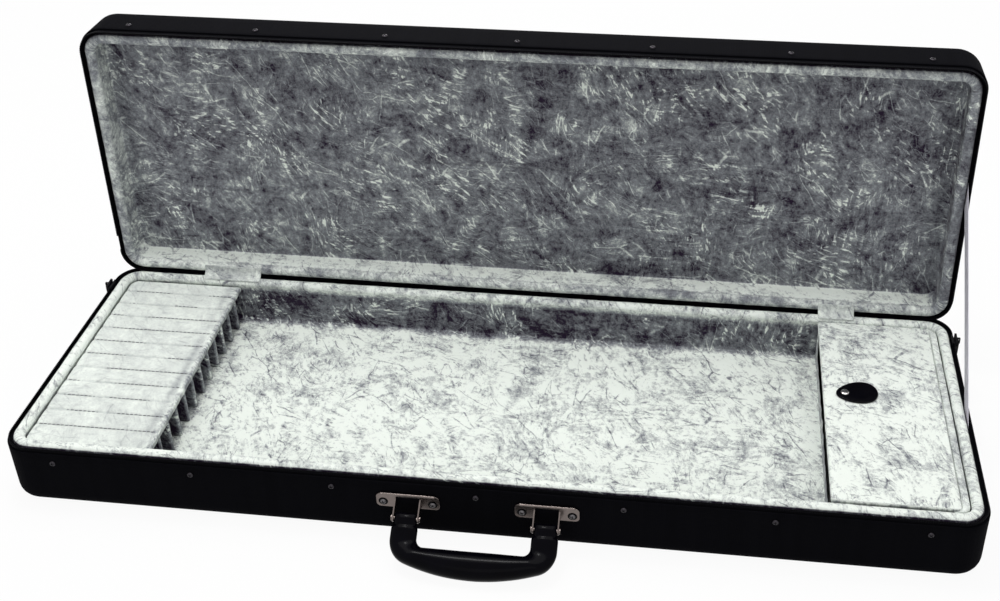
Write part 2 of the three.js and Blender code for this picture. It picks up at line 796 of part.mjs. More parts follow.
function frogFlap() {
  const halfX = (flapRightX - flapLeftX) / 2;
  const halfY = (flapBackY - flapFrontY) / 2;
  const middleX = flapLeftX + halfX;
  const middleY = flapFrontY + halfY;
  const bottom = flapTop - FLAP_THICK;
  const round = FLAP_EDGE_ROUND;
  const crownRadius = Math.max(FLAP_CORNER - FLAP_CROWN_RUN, TIGHTEST_CORNER);
  const ring = (inset, z, radius) =>
    roundedRing(halfX - inset, halfY - inset, radius, z, middleX, middleY);
  const pad = loft([
    ring(round, bottom, FLAP_CORNER - round),
    ring(0, bottom + round, FLAP_CORNER),
    ring(0, flapTop - round, FLAP_CORNER),
    ring(round, flapTop, FLAP_CORNER - round),
    ring(FLAP_CROWN_RUN, flapTop + FLAP_CROWN, crownRadius),
  ]);
  const hole = new THREE.CylinderGeometry(
    RIVET_SHANK_RADIUS + CLEAR,
    RIVET_SHANK_RADIUS + CLEAR,
    FLAP_THICK + 2 * OVERRUN,
    ROUND_SIDES,
  );
  hole.rotateX(Math.PI / 2).translate(rivetX, rivetY, flapTop - FLAP_THICK / 2);
  return cut(pad, [hole]);
}

// Leather tab, drawn round its rivet and pointing along x
function pullTab() {
  const meetDeg = Math.acos((TAB_NARROW_RADIUS - TAB_WIDE_RADIUS) / TAB_CENTRES) / degrees;
  const outline = [
    ...arc(TAB_CENTRES, 0, TAB_WIDE_RADIUS, -meetDeg, meetDeg, 2 * ARC_STEPS),
    ...arc(0, 0, TAB_NARROW_RADIUS, meetDeg, 360 - meetDeg, ARC_STEPS),
  ];
  const hole = arc(0, 0, RIVET_SHANK_RADIUS + CLEAR, 0, 360, ROUND_SIDES).slice(1);
  const bottom = flapTop + FLAP_CROWN + CLEAR;
  const plain = prism("z", outline, bottom, bottom + TAB_THICK, [], TAB_BEVEL);
  const drill = prism("z", hole, bottom - OVERRUN, bottom + TAB_THICK + OVERRUN);
  return cut(plain, [drill]);
}

function tabRivet() {
  const seat = flapTop + FLAP_CROWN + TAB_THICK + 2 * CLEAR;
  const profile = [
    [0, flapTop - FLAP_THICK + CLEAR],
    [RIVET_SHANK_RADIUS, flapTop - FLAP_THICK + CLEAR],
    [RIVET_SHANK_RADIUS, seat],
    [RIVET_HEAD_RADIUS, seat],
    ...arc(0, seat, RIVET_HEAD_RADIUS, 25, 90, 3, RIVET_HEAD_RISE),
  ];
  profile[profile.length - 1][0] = 0;
  return turned(profile, ROUND_SIDES).rotateX(Math.PI / 2).translate(rivetX, rivetY, 0);
}

// Handle bracket: screwed plate with a rolled top edge, open between the two ears that hold the pin
function bracket(x) {
  const face = frontY - CLEAR;
  const plateFront = face - PLATE_THICK;
  const top = plateTop;
  const bottom = plateBottom;
  const half = PLATE_WIDTH / 2;
  const cornerX = half - PLATE_CORNER;
  const outline = [
    ...arc(x + cornerX, top - PLATE_CORNER, PLATE_CORNER, 0, 90, EDGE_STEPS),
    ...arc(x - cornerX, top - PLATE_CORNER, PLATE_CORNER, 90, 180, EDGE_STEPS),
    ...arc(x - cornerX, bottom + PLATE_CORNER, PLATE_CORNER, 180, 270, EDGE_STEPS),
    ...arc(x + cornerX, bottom + PLATE_CORNER, PLATE_CORNER, 270, 360, EDGE_STEPS),
  ];
  const rollHalf = half - PLATE_ROLL_INSET;
  const rollMiddle = [face - PLATE_ROLL_RADIUS, top];
  const windowHalf = EAR_SPACING / 2 - EAR_THICK / 2;
  const windowTop = top - PLATE_BRIDGE;
  const plate = cut(prism("y", outline, plateFront, face), [
    block(x - windowHalf, x + windowHalf, plateFront - OVERRUN, face + OVERRUN, bottom - OVERRUN, windowTop),
  ]);
  const pinY = frontY - PIN_OUT;
  const pieces = [plate, bar("x", PLATE_ROLL_RADIUS, x - rollHalf, x + rollHalf, rollMiddle, BARREL_SIDES)];
  const ear = [
    [face - PLATE_THICK / 2, top - EAR_ROOT_INSET],
    [face - PLATE_THICK / 2, bottom + EAR_ROOT_RISE],
    ...arc(pinY, pinZ, EAR_END_RADIUS, 315, 135, ARC_STEPS),
  ];
  for (const side of [-1, 1]) {
    const earX = x + (side * EAR_SPACING) / 2;
    pieces.push(prism("x", ear, earX - EAR_THICK / 2, earX + EAR_THICK / 2));
  }
  const cutters = [
    bar("x", PIN_RADIUS + CLEAR, x - half, x + half, [pinY, pinZ], BARREL_SIDES),
    screwHole(x - BRACKET_SCREW_SPACING / 2, bracketScrewZ),
    screwHole(x + BRACKET_SCREW_SPACING / 2, bracketScrewZ),
  ];
  return cut(join(pieces), cutters);
}

function handlePin(x) {
  const reach = EAR_SPACING / 2 + EAR_THICK / 2 + CLEAR;
  const end = reach + PIN_HEAD_THICK;
  const profile = [
    [0, -end],
    [PIN_HEAD_RADIUS, -end],
    [PIN_HEAD_RADIUS, -reach],
    [PIN_RADIUS, -reach],
    [PIN_RADIUS, reach],
    [PIN_HEAD_RADIUS, reach],
    [PIN_HEAD_RADIUS, end],
    [0, end],
  ];
  return turned(profile, BARREL_SIDES).rotateZ(Math.PI / 2).translate(x, frontY - PIN_OUT, pinZ);
}

// Moulded handle, drawn hanging from the line of its pins. A station is the inner and the outer
// point of the outline and half the thickness there: down one arm, round the corner, along the grip.
function handle() {
  const armX = BRACKET_SPACING / 2;
  const eyeHalf = EAR_SPACING / 2 - EAR_THICK / 2 - CLEAR;
  const innerX = armX - HANDLE_ARM_WIDTH / 2;
  const outerX = armX + HANDLE_ARM_WIDTH / 2;
  const innerZ = HANDLE_GRIP_WIDTH - HANDLE_REACH;
  const innerCorner = [innerX - HANDLE_INNER_CORNER, innerZ + HANDLE_INNER_CORNER];
  const sagZ = HANDLE_SAG_RADIUS - HANDLE_REACH;
  const sagX = outerX - HANDLE_OUTER_CORNER;
  const betweenCentres = HANDLE_SAG_RADIUS - HANDLE_OUTER_CORNER;
  const outerCorner = [sagX, sagZ - Math.sqrt(betweenCentres ** 2 - sagX ** 2)];
  const sagDeg = Math.asin(sagX / betweenCentres) / degrees;
  const stations = [
    [armX - eyeHalf, 0, armX + eyeHalf, 0, HANDLE_ROOT_THICK / 2],
    [armX - eyeHalf, -HANDLE_EYE_RADIUS, armX + eyeHalf, -HANDLE_EYE_RADIUS, HANDLE_ROOT_THICK / 2],
    [innerX, -HANDLE_ARM_START, outerX, -HANDLE_ARM_START, HANDLE_ARM_THICK / 2],
  ];
  const inside = arc(...innerCorner, HANDLE_INNER_CORNER, 0, -90, BEND_STEPS);
  const outside = arc(...outerCorner, HANDLE_OUTER_CORNER, 0, sagDeg - 90, BEND_STEPS);
  inside.forEach((point, i) => {
    const thick = HANDLE_ARM_THICK + ((HANDLE_GRIP_THICK - HANDLE_ARM_THICK) * i) / BEND_STEPS;
    stations.push([...point, ...outside[i], thick / 2]);
  });
  const grip = arc(0, sagZ, HANDLE_SAG_RADIUS, sagDeg - 90, -90, GRIP_STEPS).slice(1);
  grip.forEach(([x, z], i) => {
    const along = innerCorner[0] * (1 - (i + 1) / GRIP_STEPS);
    stations.push([along, innerZ, x, z, HANDLE_GRIP_THICK / 2]);
  });
  const mirrored = stations.slice(0, -1).reverse();
  const all = [...stations, ...mirrored.map(([a, az, b, bz, thick]) => [-a, az, -b, bz, thick])];
  const power = 2 / HANDLE_SQUARENESS;
  const rings = all.map(([a, az, b, bz, thick]) => {
    const ring = [];
    for (let i = 0; i < GRIP_SIDES; i++) {
      const turn = (i / GRIP_SIDES) * 2 * Math.PI;
      const cos = Math.cos(turn);
      const sin = Math.sin(turn);
      const across = (1 + Math.sign(cos) * Math.abs(cos) ** power) / 2;
      const out = thick * Math.sign(sin) * Math.abs(sin) ** power;
      ring.push([a + (b - a) * across, out, az + (bz - az) * across]);
    }
    return ring;
  });
  const pieces = [loft(rings)];
  const drills = [];
  for (const side of [-1, 1]) {
    const x = side * armX;
    pieces.push(bar("x", HANDLE_EYE_RADIUS, x - eyeHalf, x + eyeHalf, [0, 0], BARREL_SIDES));
    drills.push(bar("x", PIN_RADIUS + CLEAR, x - armX / 2, x + armX / 2, [0, 0], BARREL_SIDES));
  }
  return cut(join(pieces), drills);
}

// Zip slider, drawn at the base's end face with y = 0 at its middle; side is -1 left, 1 right
function zipSlider(side) {
  const chainInner = shellInset + CHAIN_THICK;
  const innerFace = chainInner + CLEAR;
  const outerFace = COVER_THICK;
  const half = SLIDER_LENGTH / 2;
  const bailHalf = BAIL_WIDTH / 2;
  const bailOut = SLIDER_OUTER_REACH + 2 * PULL_BAR_OUT + BAIL_WIRE;
  const at = (fromInset, toInset) => [
    Math.min(side * (halfLength - fromInset), side * (halfLength - toInset)),
    Math.max(side * (halfLength - fromInset), side * (halfLength - toInset)),
  ];
  const plate = (fromInset, toInset, tall, narrow) => {
    const [x0, x1] = at(fromInset, toInset);
    const outline = [
      [-half, -tall * narrow],
      [half, -tall],
      [half, tall],
      [-half, tall * narrow],
    ];
    return prism("x", outline, x0, x1);
  };
  const taperShare = 0.7;
  const bridge = block(
    ...at(-SLIDER_OUTER_REACH, innerFace + SLIDER_INNER_THICK),
    -half,
    half / 2,
    -SLIDER_BRIDGE_HALF,
    SLIDER_BRIDGE_HALF,
  );
  const arch = block(...at(-bailOut, 0), -bailHalf, bailHalf, -BAIL_HALF_HEIGHT, BAIL_HALF_HEIGHT);
  const archRoom = block(
    ...at(-bailOut + BAIL_WIRE, -SLIDER_OUTER_REACH),
    -bailHalf - OVERRUN,
    bailHalf + OVERRUN,
    BAIL_WIRE - BAIL_HALF_HEIGHT,
    BAIL_HALF_HEIGHT - BAIL_WIRE,
  );
  return join([
    plate(-SLIDER_OUTER_REACH, outerFace, SLIDER_OUTER_HALF, taperShare),
    plate(innerFace, innerFace + SLIDER_INNER_THICK, SLIDER_INNER_HALF, taperShare),
    bridge,
    cut(arch, [archRoom]),
  ]);
}

// Pull of a slider, hanging from the middle of its bar at the origin
function zipPull() {
  const half = PULL_WIDTH / 2;
  const windowHalf = BAIL_WIDTH / 2 + CLEAR;
  const outline = [
    [-half, PULL_BAR_RADIUS],
    [half, PULL_BAR_RADIUS],
    ...arc(half - PULL_TIP_RADIUS, PULL_TIP_RADIUS - PULL_LENGTH, PULL_TIP_RADIUS, 0, -90, EDGE_STEPS),
    ...arc(PULL_TIP_RADIUS - half, PULL_TIP_RADIUS - PULL_LENGTH, PULL_TIP_RADIUS, -90, -180, EDGE_STEPS),
  ];
  const window = [
    [-windowHalf, -PULL_BAR_RADIUS],
    [windowHalf, -PULL_BAR_RADIUS],
    [windowHalf, -PULL_WINDOW],
    [-windowHalf, -PULL_WINDOW],
  ];
  return prism("x", outline, -PULL_THICK / 2, PULL_THICK / 2, [window]);
}

// Assembly of the base
const bowCase = new THREE.Group();
const baseHoles = [];
const baseScrewZ = BASE_HEIGHT - COVER_SCREW_DROP;
const bracketXs = [HANDLE_X - BRACKET_SPACING / 2, HANDLE_X + BRACKET_SPACING / 2];
for (const x of coverScrewXs(0)) {
  baseHoles.push(screwHole(x, baseScrewZ));
}
for (const x of bracketXs) {
  baseHoles.push(screwHole(x - BRACKET_SCREW_SPACING / 2, bracketScrewZ));
  baseHoles.push(screwHole(x + BRACKET_SCREW_SPACING / 2, bracketScrewZ));
}
bowCase.add(mesh("base_cover", cut(tray(coverProfile(BASE_HEIGHT)), baseHoles), blackFabric));
bowCase.add(mesh("base_shell", cut(tray(shellProfile(BASE_HEIGHT)), baseHoles), plywood));
const baseLining = tray(liningProfile(BASE_HEIGHT, baseFloor, 0));
bowCase.add(mesh("base_lining", cut(baseLining, hingeRooms(BASE_HEIGHT)), plush));
bowCase.add(mesh("base_zip_chain", zipChain(BASE_HEIGHT), blackPlastic));
coverScrewXs(0).forEach((x, i) => {
  bowCase.add(mesh("base_cover_screw_" + (i + 1), roundScrew(x, baseScrewZ, frontY - CLEAR), zinc));
});

// Hinges and stay
const hinges = [
  ["left", leftHingeX, LEFT_LEAF_WIDTH, LEFT_PATCH_WIDTH],
  ["right", rightHingeX, RIGHT_LEAF_WIDTH, RIGHT_PATCH_WIDTH],
];
for (const [side, x, leafWidth, patchWidth] of hinges) {
  bowCase.add(mesh("hinge_base_leaf_" + side, baseLeaf(x, leafWidth), zinc));
  bowCase.add(mesh("hinge_flap_" + side, hingePatch(x, patchWidth), plushEdge));
}
bowCase.add(mesh("spine_cover", spine(), blackFabric));
bowCase.add(mesh("lid_stay", stay(), ribbon));

// Tip block and frog block
bowCase.add(mesh("tip_slab", tipSlab(), plush));
for (let i = 0; i < DIVIDER_COUNT; i++) {
  const number = String(i + 1).padStart(2, "0");
  bowCase.add(mesh("tip_divider_" + number, tipDivider(i), plushEdge));
}
bowCase.add(mesh("frog_rest", frogRest(), plush));
bowCase.add(mesh("frog_ledge", frogLedge(), plush));
const flapPivot = new THREE.Group();
flapPivot.position.set(flapRightX + CLEAR, 0, flapTop);
const offset = flapPivot.position.clone().negate().toArray();
flapPivot.add(mesh("frog_flap", frogFlap().translate(...offset), plush));
flapPivot.add(mesh("tab_rivet", tabRivet().translate(...offset), nickel));
const tabPivot = new THREE.Group();
tabPivot.position.set(rivetX + offset[0], rivetY, offset[2]);
tabPivot.rotation.z = TAB_TURN_DEG * degrees;
tabPivot.add(mesh("pull_tab", pullTab(), blackLeather));
flapPivot.add(tabPivot);
bowCase.add(flapPivot);

// Handle
let bracketScrewCount = 0;
bracketXs.forEach((x, i) => {
  const side = i === 0 ? "left" : "right";
  bowCase.add(mesh("handle_bracket_" + side, bracket(x), nickel));
  bowCase.add(mesh("handle_pin_" + side, handlePin(x), nickel));
  for (const reach of [-BRACKET_SCREW_SPACING / 2, BRACKET_SCREW_SPACING / 2]) {
    bracketScrewCount += 1;
    const seat = frontY - PLATE_THICK - 2 * CLEAR;
    const screw = roundScrew(x + reach, bracketScrewZ, seat);
    bowCase.add(mesh("bracket_screw_" + bracketScrewCount, screw, zinc));
  }
});
const handlePivot = new THREE.Group();
handlePivot.position.set(HANDLE_X, frontY - PIN_OUT, pinZ);
handlePivot.rotation.x = (HANDLE_REST_DEG - 90) * degrees;
handlePivot.add(mesh("handle", handle(), blackPlastic));
bowCase.add(handlePivot);

// Zip sliders, parked at the back ends of the zip
for (const [name, side] of [["left", -1], ["right", 1]]) {
  const slider = new THREE.Group();
  slider.position.set(0, sliderParkY, BASE_HEIGHT);
  slider.add(mesh("zip_slider_" + name, zipSlider(side), blackMetal));
  const pull = new THREE.Group();
  pull.position.x = side * (halfLength + SLIDER_OUTER_REACH + PULL_BAR_OUT);
  pull.add(mesh("zip_pull_" + name, zipPull(), blackMetal));
  slider.add(pull);
  bowCase.add(slider);
}

// Lid, made rim up like the base, turned over and opened about the hinge axis
const lidPivot = new THREE.Group();
lidPivot.position.set(0, hingeY, BASE_HEIGHT);
lidPivot.rotation.x = -lidOpen;
function lidPiece(name, geometry, look) {
  const turnedOver = geometry.clone().scale(1, 1, -1).translate(0, -hingeY, LID_HEIGHT);
  lidPivot.add(mesh(name, turnedOver, look));
}
const lidScrewZ = LID_HEIGHT - COVER_SCREW_DROP;
const lidHoles = coverScrewXs(LID_SCREW_SHIFT).map((x) => screwHole(x, lidScrewZ));
lidPiece("lid_cover", cut(tray(coverProfile(LID_HEIGHT)), lidHoles), blackFabric);
lidPiece("lid_shell", cut(tray(shellProfile(LID_HEIGHT)), lidHoles), plywood);
const lidLining = tray(liningProfile(LID_HEIGHT, lidPanel, LID_PANEL_CROWN));
lidPiece("lid_lining", cut(lidLining, hingeRooms(LID_HEIGHT)), plush);
lidPiece("lid_zip_chain", zipChain(LID_HEIGHT), blackPlastic);
coverScrewXs(LID_SCREW_SHIFT).forEach((x, i) => {
  lidPiece("lid_cover_screw_" + (i + 1), roundScrew(x, lidScrewZ, frontY - CLEAR), zinc);
});
for (const [side, x, leafWidth] of hinges) {
  const leaf = lidLeaf(x, leafWidth).translate(0, -hingeY, -BASE_HEIGHT);
  lidPivot.add(mesh("hinge_lid_leaf_" + side, leaf, zinc));
}
bowCase.add(lidPivot);

export default bowCase;
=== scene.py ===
"""Open case for twelve bows: plush, fabric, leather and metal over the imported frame. Sizes are in metres."""

import json
import math
from collections import namedtuple

import bmesh
import bpy
import numpy as np
from bpy.props import FloatProperty, FloatVectorProperty, IntProperty, PointerProperty
from mathutils import Matrix, Vector, noise


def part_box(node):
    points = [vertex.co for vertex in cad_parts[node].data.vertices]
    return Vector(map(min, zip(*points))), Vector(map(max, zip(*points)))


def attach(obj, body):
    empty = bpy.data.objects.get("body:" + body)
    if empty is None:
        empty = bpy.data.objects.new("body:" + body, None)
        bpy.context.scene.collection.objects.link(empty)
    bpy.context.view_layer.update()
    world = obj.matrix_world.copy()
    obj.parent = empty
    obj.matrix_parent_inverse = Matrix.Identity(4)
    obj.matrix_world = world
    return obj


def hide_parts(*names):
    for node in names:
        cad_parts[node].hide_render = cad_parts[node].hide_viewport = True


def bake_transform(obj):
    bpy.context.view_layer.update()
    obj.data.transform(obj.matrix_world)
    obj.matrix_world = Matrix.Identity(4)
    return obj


bl_info = {
    "name": "Bow Case",
    "version": (1, 0, 0),
    "blender": (4, 5, 0),
    "location": "3D Viewport > Sidebar > Bow Case",
    "description": "Builds the plush, fabric, leather, metal and stage of an open case for twelve bows",
    "category": "Add Mesh",
}

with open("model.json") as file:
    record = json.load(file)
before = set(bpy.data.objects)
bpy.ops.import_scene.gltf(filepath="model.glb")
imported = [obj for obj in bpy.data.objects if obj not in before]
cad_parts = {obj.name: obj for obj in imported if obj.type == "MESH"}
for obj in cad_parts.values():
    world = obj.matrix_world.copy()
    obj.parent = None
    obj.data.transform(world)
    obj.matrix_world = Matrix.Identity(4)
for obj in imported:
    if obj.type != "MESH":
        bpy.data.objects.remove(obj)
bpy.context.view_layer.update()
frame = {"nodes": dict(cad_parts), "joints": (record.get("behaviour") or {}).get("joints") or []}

MM = 0.001

# The case, as the frame has it
HINGE = next(joint for joint in frame["joints"] if joint["name"] == "lid_hinge")
HINGE_POINT = Vector(HINGE["pos_m"])
LID_TURN = math.radians(min(HINGE["range_deg"]))
HALF_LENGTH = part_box("base_cover")[1].x
HALF_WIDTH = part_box("base_cover")[1].y
BASE_HEIGHT = HINGE_POINT.z
LEDGE_DROP = BASE_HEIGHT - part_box("base_cover")[1].z
CORNER_RADIUS = 24 * MM
EDGE_RADIUS = 14 * MM
TIGHTEST_CORNER = 2 * MM

# Layers of a wall, from outside in
COVER_THICK = 1 * MM
SHELL_INNER = 5.3 * MM
LINING_INSET = 5.6 * MM
ROLL_MIDDLE = 9.7 * MM
ROLL_HALF = 4.8 * MM
ROLL_GAP = 0.4 * MM
WALL_INNER = 13.2 * MM
FLOOR_FILLET = 3 * MM
BASE_FLOOR = 18 * MM
LID_PANEL = 24 * MM
LID_CROWN = 2 * MM
LID_CROWN_RUN = 34 * MM
SEAT_GAP = 0.3 * MM

# Steps of the round and straight stretches
CORNER_STEPS = 12
ALONG_STEPS = 124
ACROSS_STEPS = 36

# Painted light on the plush in each place, from 0, deep painted shade, to 1, full painted light
PAINTED_LIGHT_FLOOR = 0.93
PAINTED_LIGHT_SLAB = 0.885
PAINTED_LIGHT_FLAP_TOP = 0.945
PAINTED_LIGHT_FLAP_SIDE = 0.8
PAINTED_LIGHT_CARD = 0.60
PAINTED_LIGHT_PANEL = 0.34
PAINTED_LIGHT_PATCH = 0.78
PAINTED_LIGHT_DEEP_SHADE = 0.03

# How strongly the pile is crushed
CRUSH_ROLL = 1.05
CRUSH_WALL = 1.2
CRUSH_FLOOR = 1.3
CRUSH_PANEL = 1.1
CRUSH_SLAB = 0.32
CRUSH_CARD = 1.1
CRUSH_FLAP = 1.25
CRUSH_PATCH = 0.7

# How much less painted light the lid's plush has at its right end than in its middle
PAINTED_LIGHT_FALL = 0.03

# The same on walls and rolls: front, back, left and right of the closed case
PAINTED_LIGHT_BASE_WALL = (0.40, 0.22, 0.36, 0.33)
PAINTED_LIGHT_BASE_ROLL = (0.94, 0.84, 0.98, 0.96)
PAINTED_LIGHT_LID_WALL = (0.10, 0.98, 0.50, 0.26)
PAINTED_LIGHT_LID_ROLL = (0.60, 0.72, 0.60, 0.47)

Half = namedtuple("Half", "name height floor crown place")


def lid_height():
    """Height of the lid, measured on its cover turned back to the closed place."""
    shut = opened_lid().inverted()
    cover = frame["nodes"]["lid_cover"].data
    return max((shut @ vertex.co).z for vertex in cover.vertices) - HINGE_POINT.z


def opened_lid():
    """Matrix from the closed lid to the open one at rest."""
    to_axis = Matrix.Translation(HINGE_POINT)
    return to_axis @ Matrix.Rotation(LID_TURN, 4, "X") @ to_axis.inverted()


def lid_place(height):
    """Matrix from a tray that stands rim up to the open lid."""
    turned_over = Matrix.Diagonal((1, 1, -1, 1))
    return opened_lid() @ Matrix.Translation((0, 0, BASE_HEIGHT + height)) @ turned_over


LID_HEIGHT = lid_height()
BASE = Half("base", BASE_HEIGHT, BASE_FLOOR, 0, Matrix.Identity(4))
LID = Half("lid", LID_HEIGHT, LID_PANEL, LID_CROWN, lid_place(LID_HEIGHT))


# Sizes and colours that a user would change

class BowCaseSizes(bpy.types.PropertyGroup):
    """Small sizes of the soft pieces"""

    stitch_length: FloatProperty(
        name="Stitch Length", description="Length of a stitch that shows on the tip block",
        default=3.4 * MM, min=1 * MM, unit="LENGTH")
    stitch_gap: FloatProperty(
        name="Stitch Gap", description="Gap between two stitches on the tip block",
        default=0.5 * MM, min=0.2 * MM, unit="LENGTH")
    channel_depth: FloatProperty(
        name="Channel Depth", description="How far a row of stitches pulls the tip block in",
        default=0.9 * MM, min=0, unit="LENGTH")
    roll_ruffle: FloatProperty(
        name="Roll Ruffle", description="How far the plush rolls wander from a true line",
        default=0.32 * MM, min=0, unit="LENGTH")
    tooth_pitch: FloatProperty(
        name="Tooth Pitch", description="Distance between two teeth of the zip",
        default=1.9 * MM, min=1 * MM, unit="LENGTH")
    seed: IntProperty(name="Seed", description="Start of the waves in the soft pieces", default=4)


class BowCaseColours(bpy.types.PropertyGroup):
    """Colours of the fabrics, the leather and the metals"""

    # colour of the plush in painted shade
    pile_painted_shade: FloatVectorProperty(
        name="Pile Dark", description="Plush where its pile lies away from the light",
        default=(0.018, 0.009, 0.026), size=3, min=0, max=1, subtype="COLOR")
    pile_middle: FloatVectorProperty(
        name="Pile Middle", description="Plush between its dark and its light",
        default=(0.262, 0.278, 0.300), size=3, min=0, max=1, subtype="COLOR")
    # colour of the plush in painted light
    pile_painted_lit: FloatVectorProperty(
        name="Pile Light", description="Plush where its pile faces the light",
        default=(0.89, 0.94, 0.88), size=3, min=0, max=1, subtype="COLOR")
    cover: FloatVectorProperty(
        name="Cover", description="Black cloth outside", default=(0.0038, 0.0038, 0.0050),
        size=3, min=0, max=1, subtype="COLOR")
    ribbon: FloatVectorProperty(
        name="Ribbon", description="Ribbon that stops the lid", default=(0.56, 0.54, 0.61),
        size=3, min=0, max=1, subtype="COLOR")
    thread: FloatVectorProperty(
        name="Thread", description="Thread on the tip block", default=(0.09, 0.09, 0.10),
        size=3, min=0, max=1, subtype="COLOR")
    nickel: FloatVectorProperty(
        name="Nickel", description="Handle brackets and pins", default=(0.19, 0.160, 0.149),
        size=3, min=0, max=1, subtype="COLOR")
    rivet: FloatVectorProperty(
        name="Rivet", description="Bright rivet of the pull tab", default=(0.62, 0.60, 0.58),
        size=3, min=0, max=1, subtype="COLOR")
    steel: FloatVectorProperty(
        name="Steel", description="Bracket screws and hinges", default=(0.13, 0.125, 0.13),
        size=3, min=0, max=1, subtype="COLOR")
    # darker steel for the screws in the covers, painted shade of the cloth dimples they sit in
    dimple_shade_steel: FloatVectorProperty(
        name="Dimple Shade Steel", description="Screws in the covers", default=(0.040, 0.037, 0.042),
        size=3, min=0, max=1, subtype="COLOR")
    moulded: FloatVectorProperty(
        name="Moulded Black", description="Handle, zip and tab", default=(0.0011, 0.0010, 0.0022),
        size=3, min=0, max=1, subtype="COLOR")


class BowCaseStage(bpy.types.PropertyGroup):
    """Light and camera"""

    lamp_power: FloatProperty(
        name="Overhead Lamp", description="Power of the soft lamp over the case",
        default=16.6, min=0, unit="POWER")
    key_power: FloatProperty(
        name="Key Lamp", description="Power of the small lamp that draws the highlights",
        default=6.0, min=0, unit="POWER")
    fill_power: FloatProperty(
        name="Fill Lamp", description="Power of the weak lamp in front", default=3.0, min=0, unit="POWER")
    back_power: FloatProperty(
        name="Back Lamp", description="Power of the weak lamp behind", default=12.0, min=0, unit="POWER")
    ambient: FloatProperty(
        name="Ambient", description="Strength of the even light all round", default=0.42, min=0)
    azimuth: FloatProperty(
        name="Azimuth", description="Camera's turn from straight in front",
        default=math.radians(7.243), subtype="ANGLE", unit="ROTATION")
    elevation: FloatProperty(
        name="Elevation", description="Camera's height over the horizon",
        default=math.radians(30.826), subtype="ANGLE", unit="ROTATION")
    roll: FloatProperty(
        name="Roll", description="Camera's lean", default=math.radians(-0.711),
        subtype="ANGLE", unit="ROTATION")
    distance: FloatProperty(
        name="Distance", description="From the aimed point to the camera", default=1.041573, unit="LENGTH")


# Making meshes

def mark(mesh, name, kind, values):
    """Stores one value or vector for each point of a mesh."""
    layer = mesh.attributes.new(name, kind, "POINT")
    layer.data.foreach_set("vector" if kind == "FLOAT_VECTOR" else "value", np.ravel(values))


def put(name, data):
    """New object in the scene."""
    piece = bpy.data.objects.new(name, data)
    bpy.context.scene.collection.objects.link(piece)
    return piece


def new_piece(name, points, faces, look, lay=None, painted_light=None, crush=None, smooth=True):
    """A closed piece from points and faces, faces turned outwards."""
    mesh = bpy.data.meshes.new(name)
    mesh.from_pydata([tuple(map(float, point)) for point in points], [], faces)
    if lay is not None:
        mark(mesh, "lay", "FLOAT_VECTOR", lay)
    # painted light and shade of each point, and how crushed its plush is
    if painted_light is not None:
        mark(mesh, "painted_light", "FLOAT", np.broadcast_to(painted_light, len(points)))
        mark(mesh, "crush", "FLOAT", np.broadcast_to(crush, len(points)))
    build = bmesh.new()
    build.from_mesh(mesh)
    bmesh.ops.recalc_face_normals(build, faces=build.faces)
    build.to_mesh(mesh)
    build.free()
    mesh.polygons.foreach_set("use_smooth", [smooth] * len(mesh.polygons))
    mesh.materials.append(look)
    return put(name, mesh)


def sharpen(piece, degrees):
    """Keeps edges crisp that turn by more than an angle."""
    build = bmesh.new()
    build.from_mesh(piece.data)
    for edge in build.edges:
        edge.smooth = len(edge.link_faces) == 2 and edge.calc_face_angle(0) < math.radians(degrees)
    build.to_mesh(piece.data)
    build.free()
    return piece


def settle(piece, body, slot, *nodes):
    """Gives a piece its body and hides the nodes that it stands for; its slot is not used."""
    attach(piece, body)
    if nodes:
        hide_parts(*nodes)
    return piece


def skin_faces(rows, count):
    """Faces over rows of points that each close on themselves, with flat ends."""
    faces = []
    for near in range(0, (rows - 1) * count, count):
        for j in range(count):
            k = (j + 1) % count
            faces.append((near + j, near + k, near + count + k, near + count + j))
    return faces + [tuple(range(count)), tuple(range((rows - 1) * count, rows * count))]


def sheet_faces(rows, columns):
    """Faces of a sheet with two sides, the second's points after the first's, and a rim between them."""
    count = rows * columns
    faces = []
    for i in range(rows - 1):
        for j in range(columns - 1):
            a, b = i * columns + j, (i + 1) * columns + j
            faces.append((a, a + 1, b + 1, b))
            faces.append((a + count, b + count, b + 1 + count, a + 1 + count))
    border = list(range(columns)) + [i * columns + columns - 1 for i in range(1, rows)]
    border += [(rows - 1) * columns + j for j in range(columns - 2, -1, -1)]
    border += [i * columns for i in range(rows - 2, 0, -1)]
    return faces + [(a, b, b + count, a + count) for a, b in zip(border, border[1:] + border[:1])]


def run_lengths(path):
    """Length along a path up to each of its points."""
    return np.concatenate([[0], np.cumsum(np.hypot(*np.diff(np.array(path), axis=0).T))])


def in_place(half, points):
    """Points of a half that stands rim up, moved to its place at rest."""
    place = np.array(half.place)
    return np.array(points) @ place[:3, :3].T + place[:3, 3]


def circle(sides):
    """Directions to even steps round a circle."""
    return [(math.cos(turn), math.sin(turn)) for turn in np.linspace(0, math.tau, sides + 1)[:-1]]


def arc_points(across, up, radius, start, end, steps, radius_up=None):
    """Points of an arc, its angles in degrees, both ends included."""
    turns = np.radians(np.linspace(start, end, steps + 1))
    tall = radius if radius_up is None else radius_up
    return [(across + radius * math.cos(t), up + tall * math.sin(t)) for t in turns]


def line_points(start, end, steps):
    """Points of a straight line after its start, its end included."""
    shares = np.linspace(0, 1, steps + 1)[1:]
    return [tuple(np.array(start) + (np.array(end) - np.array(start)) * share) for share in shares]


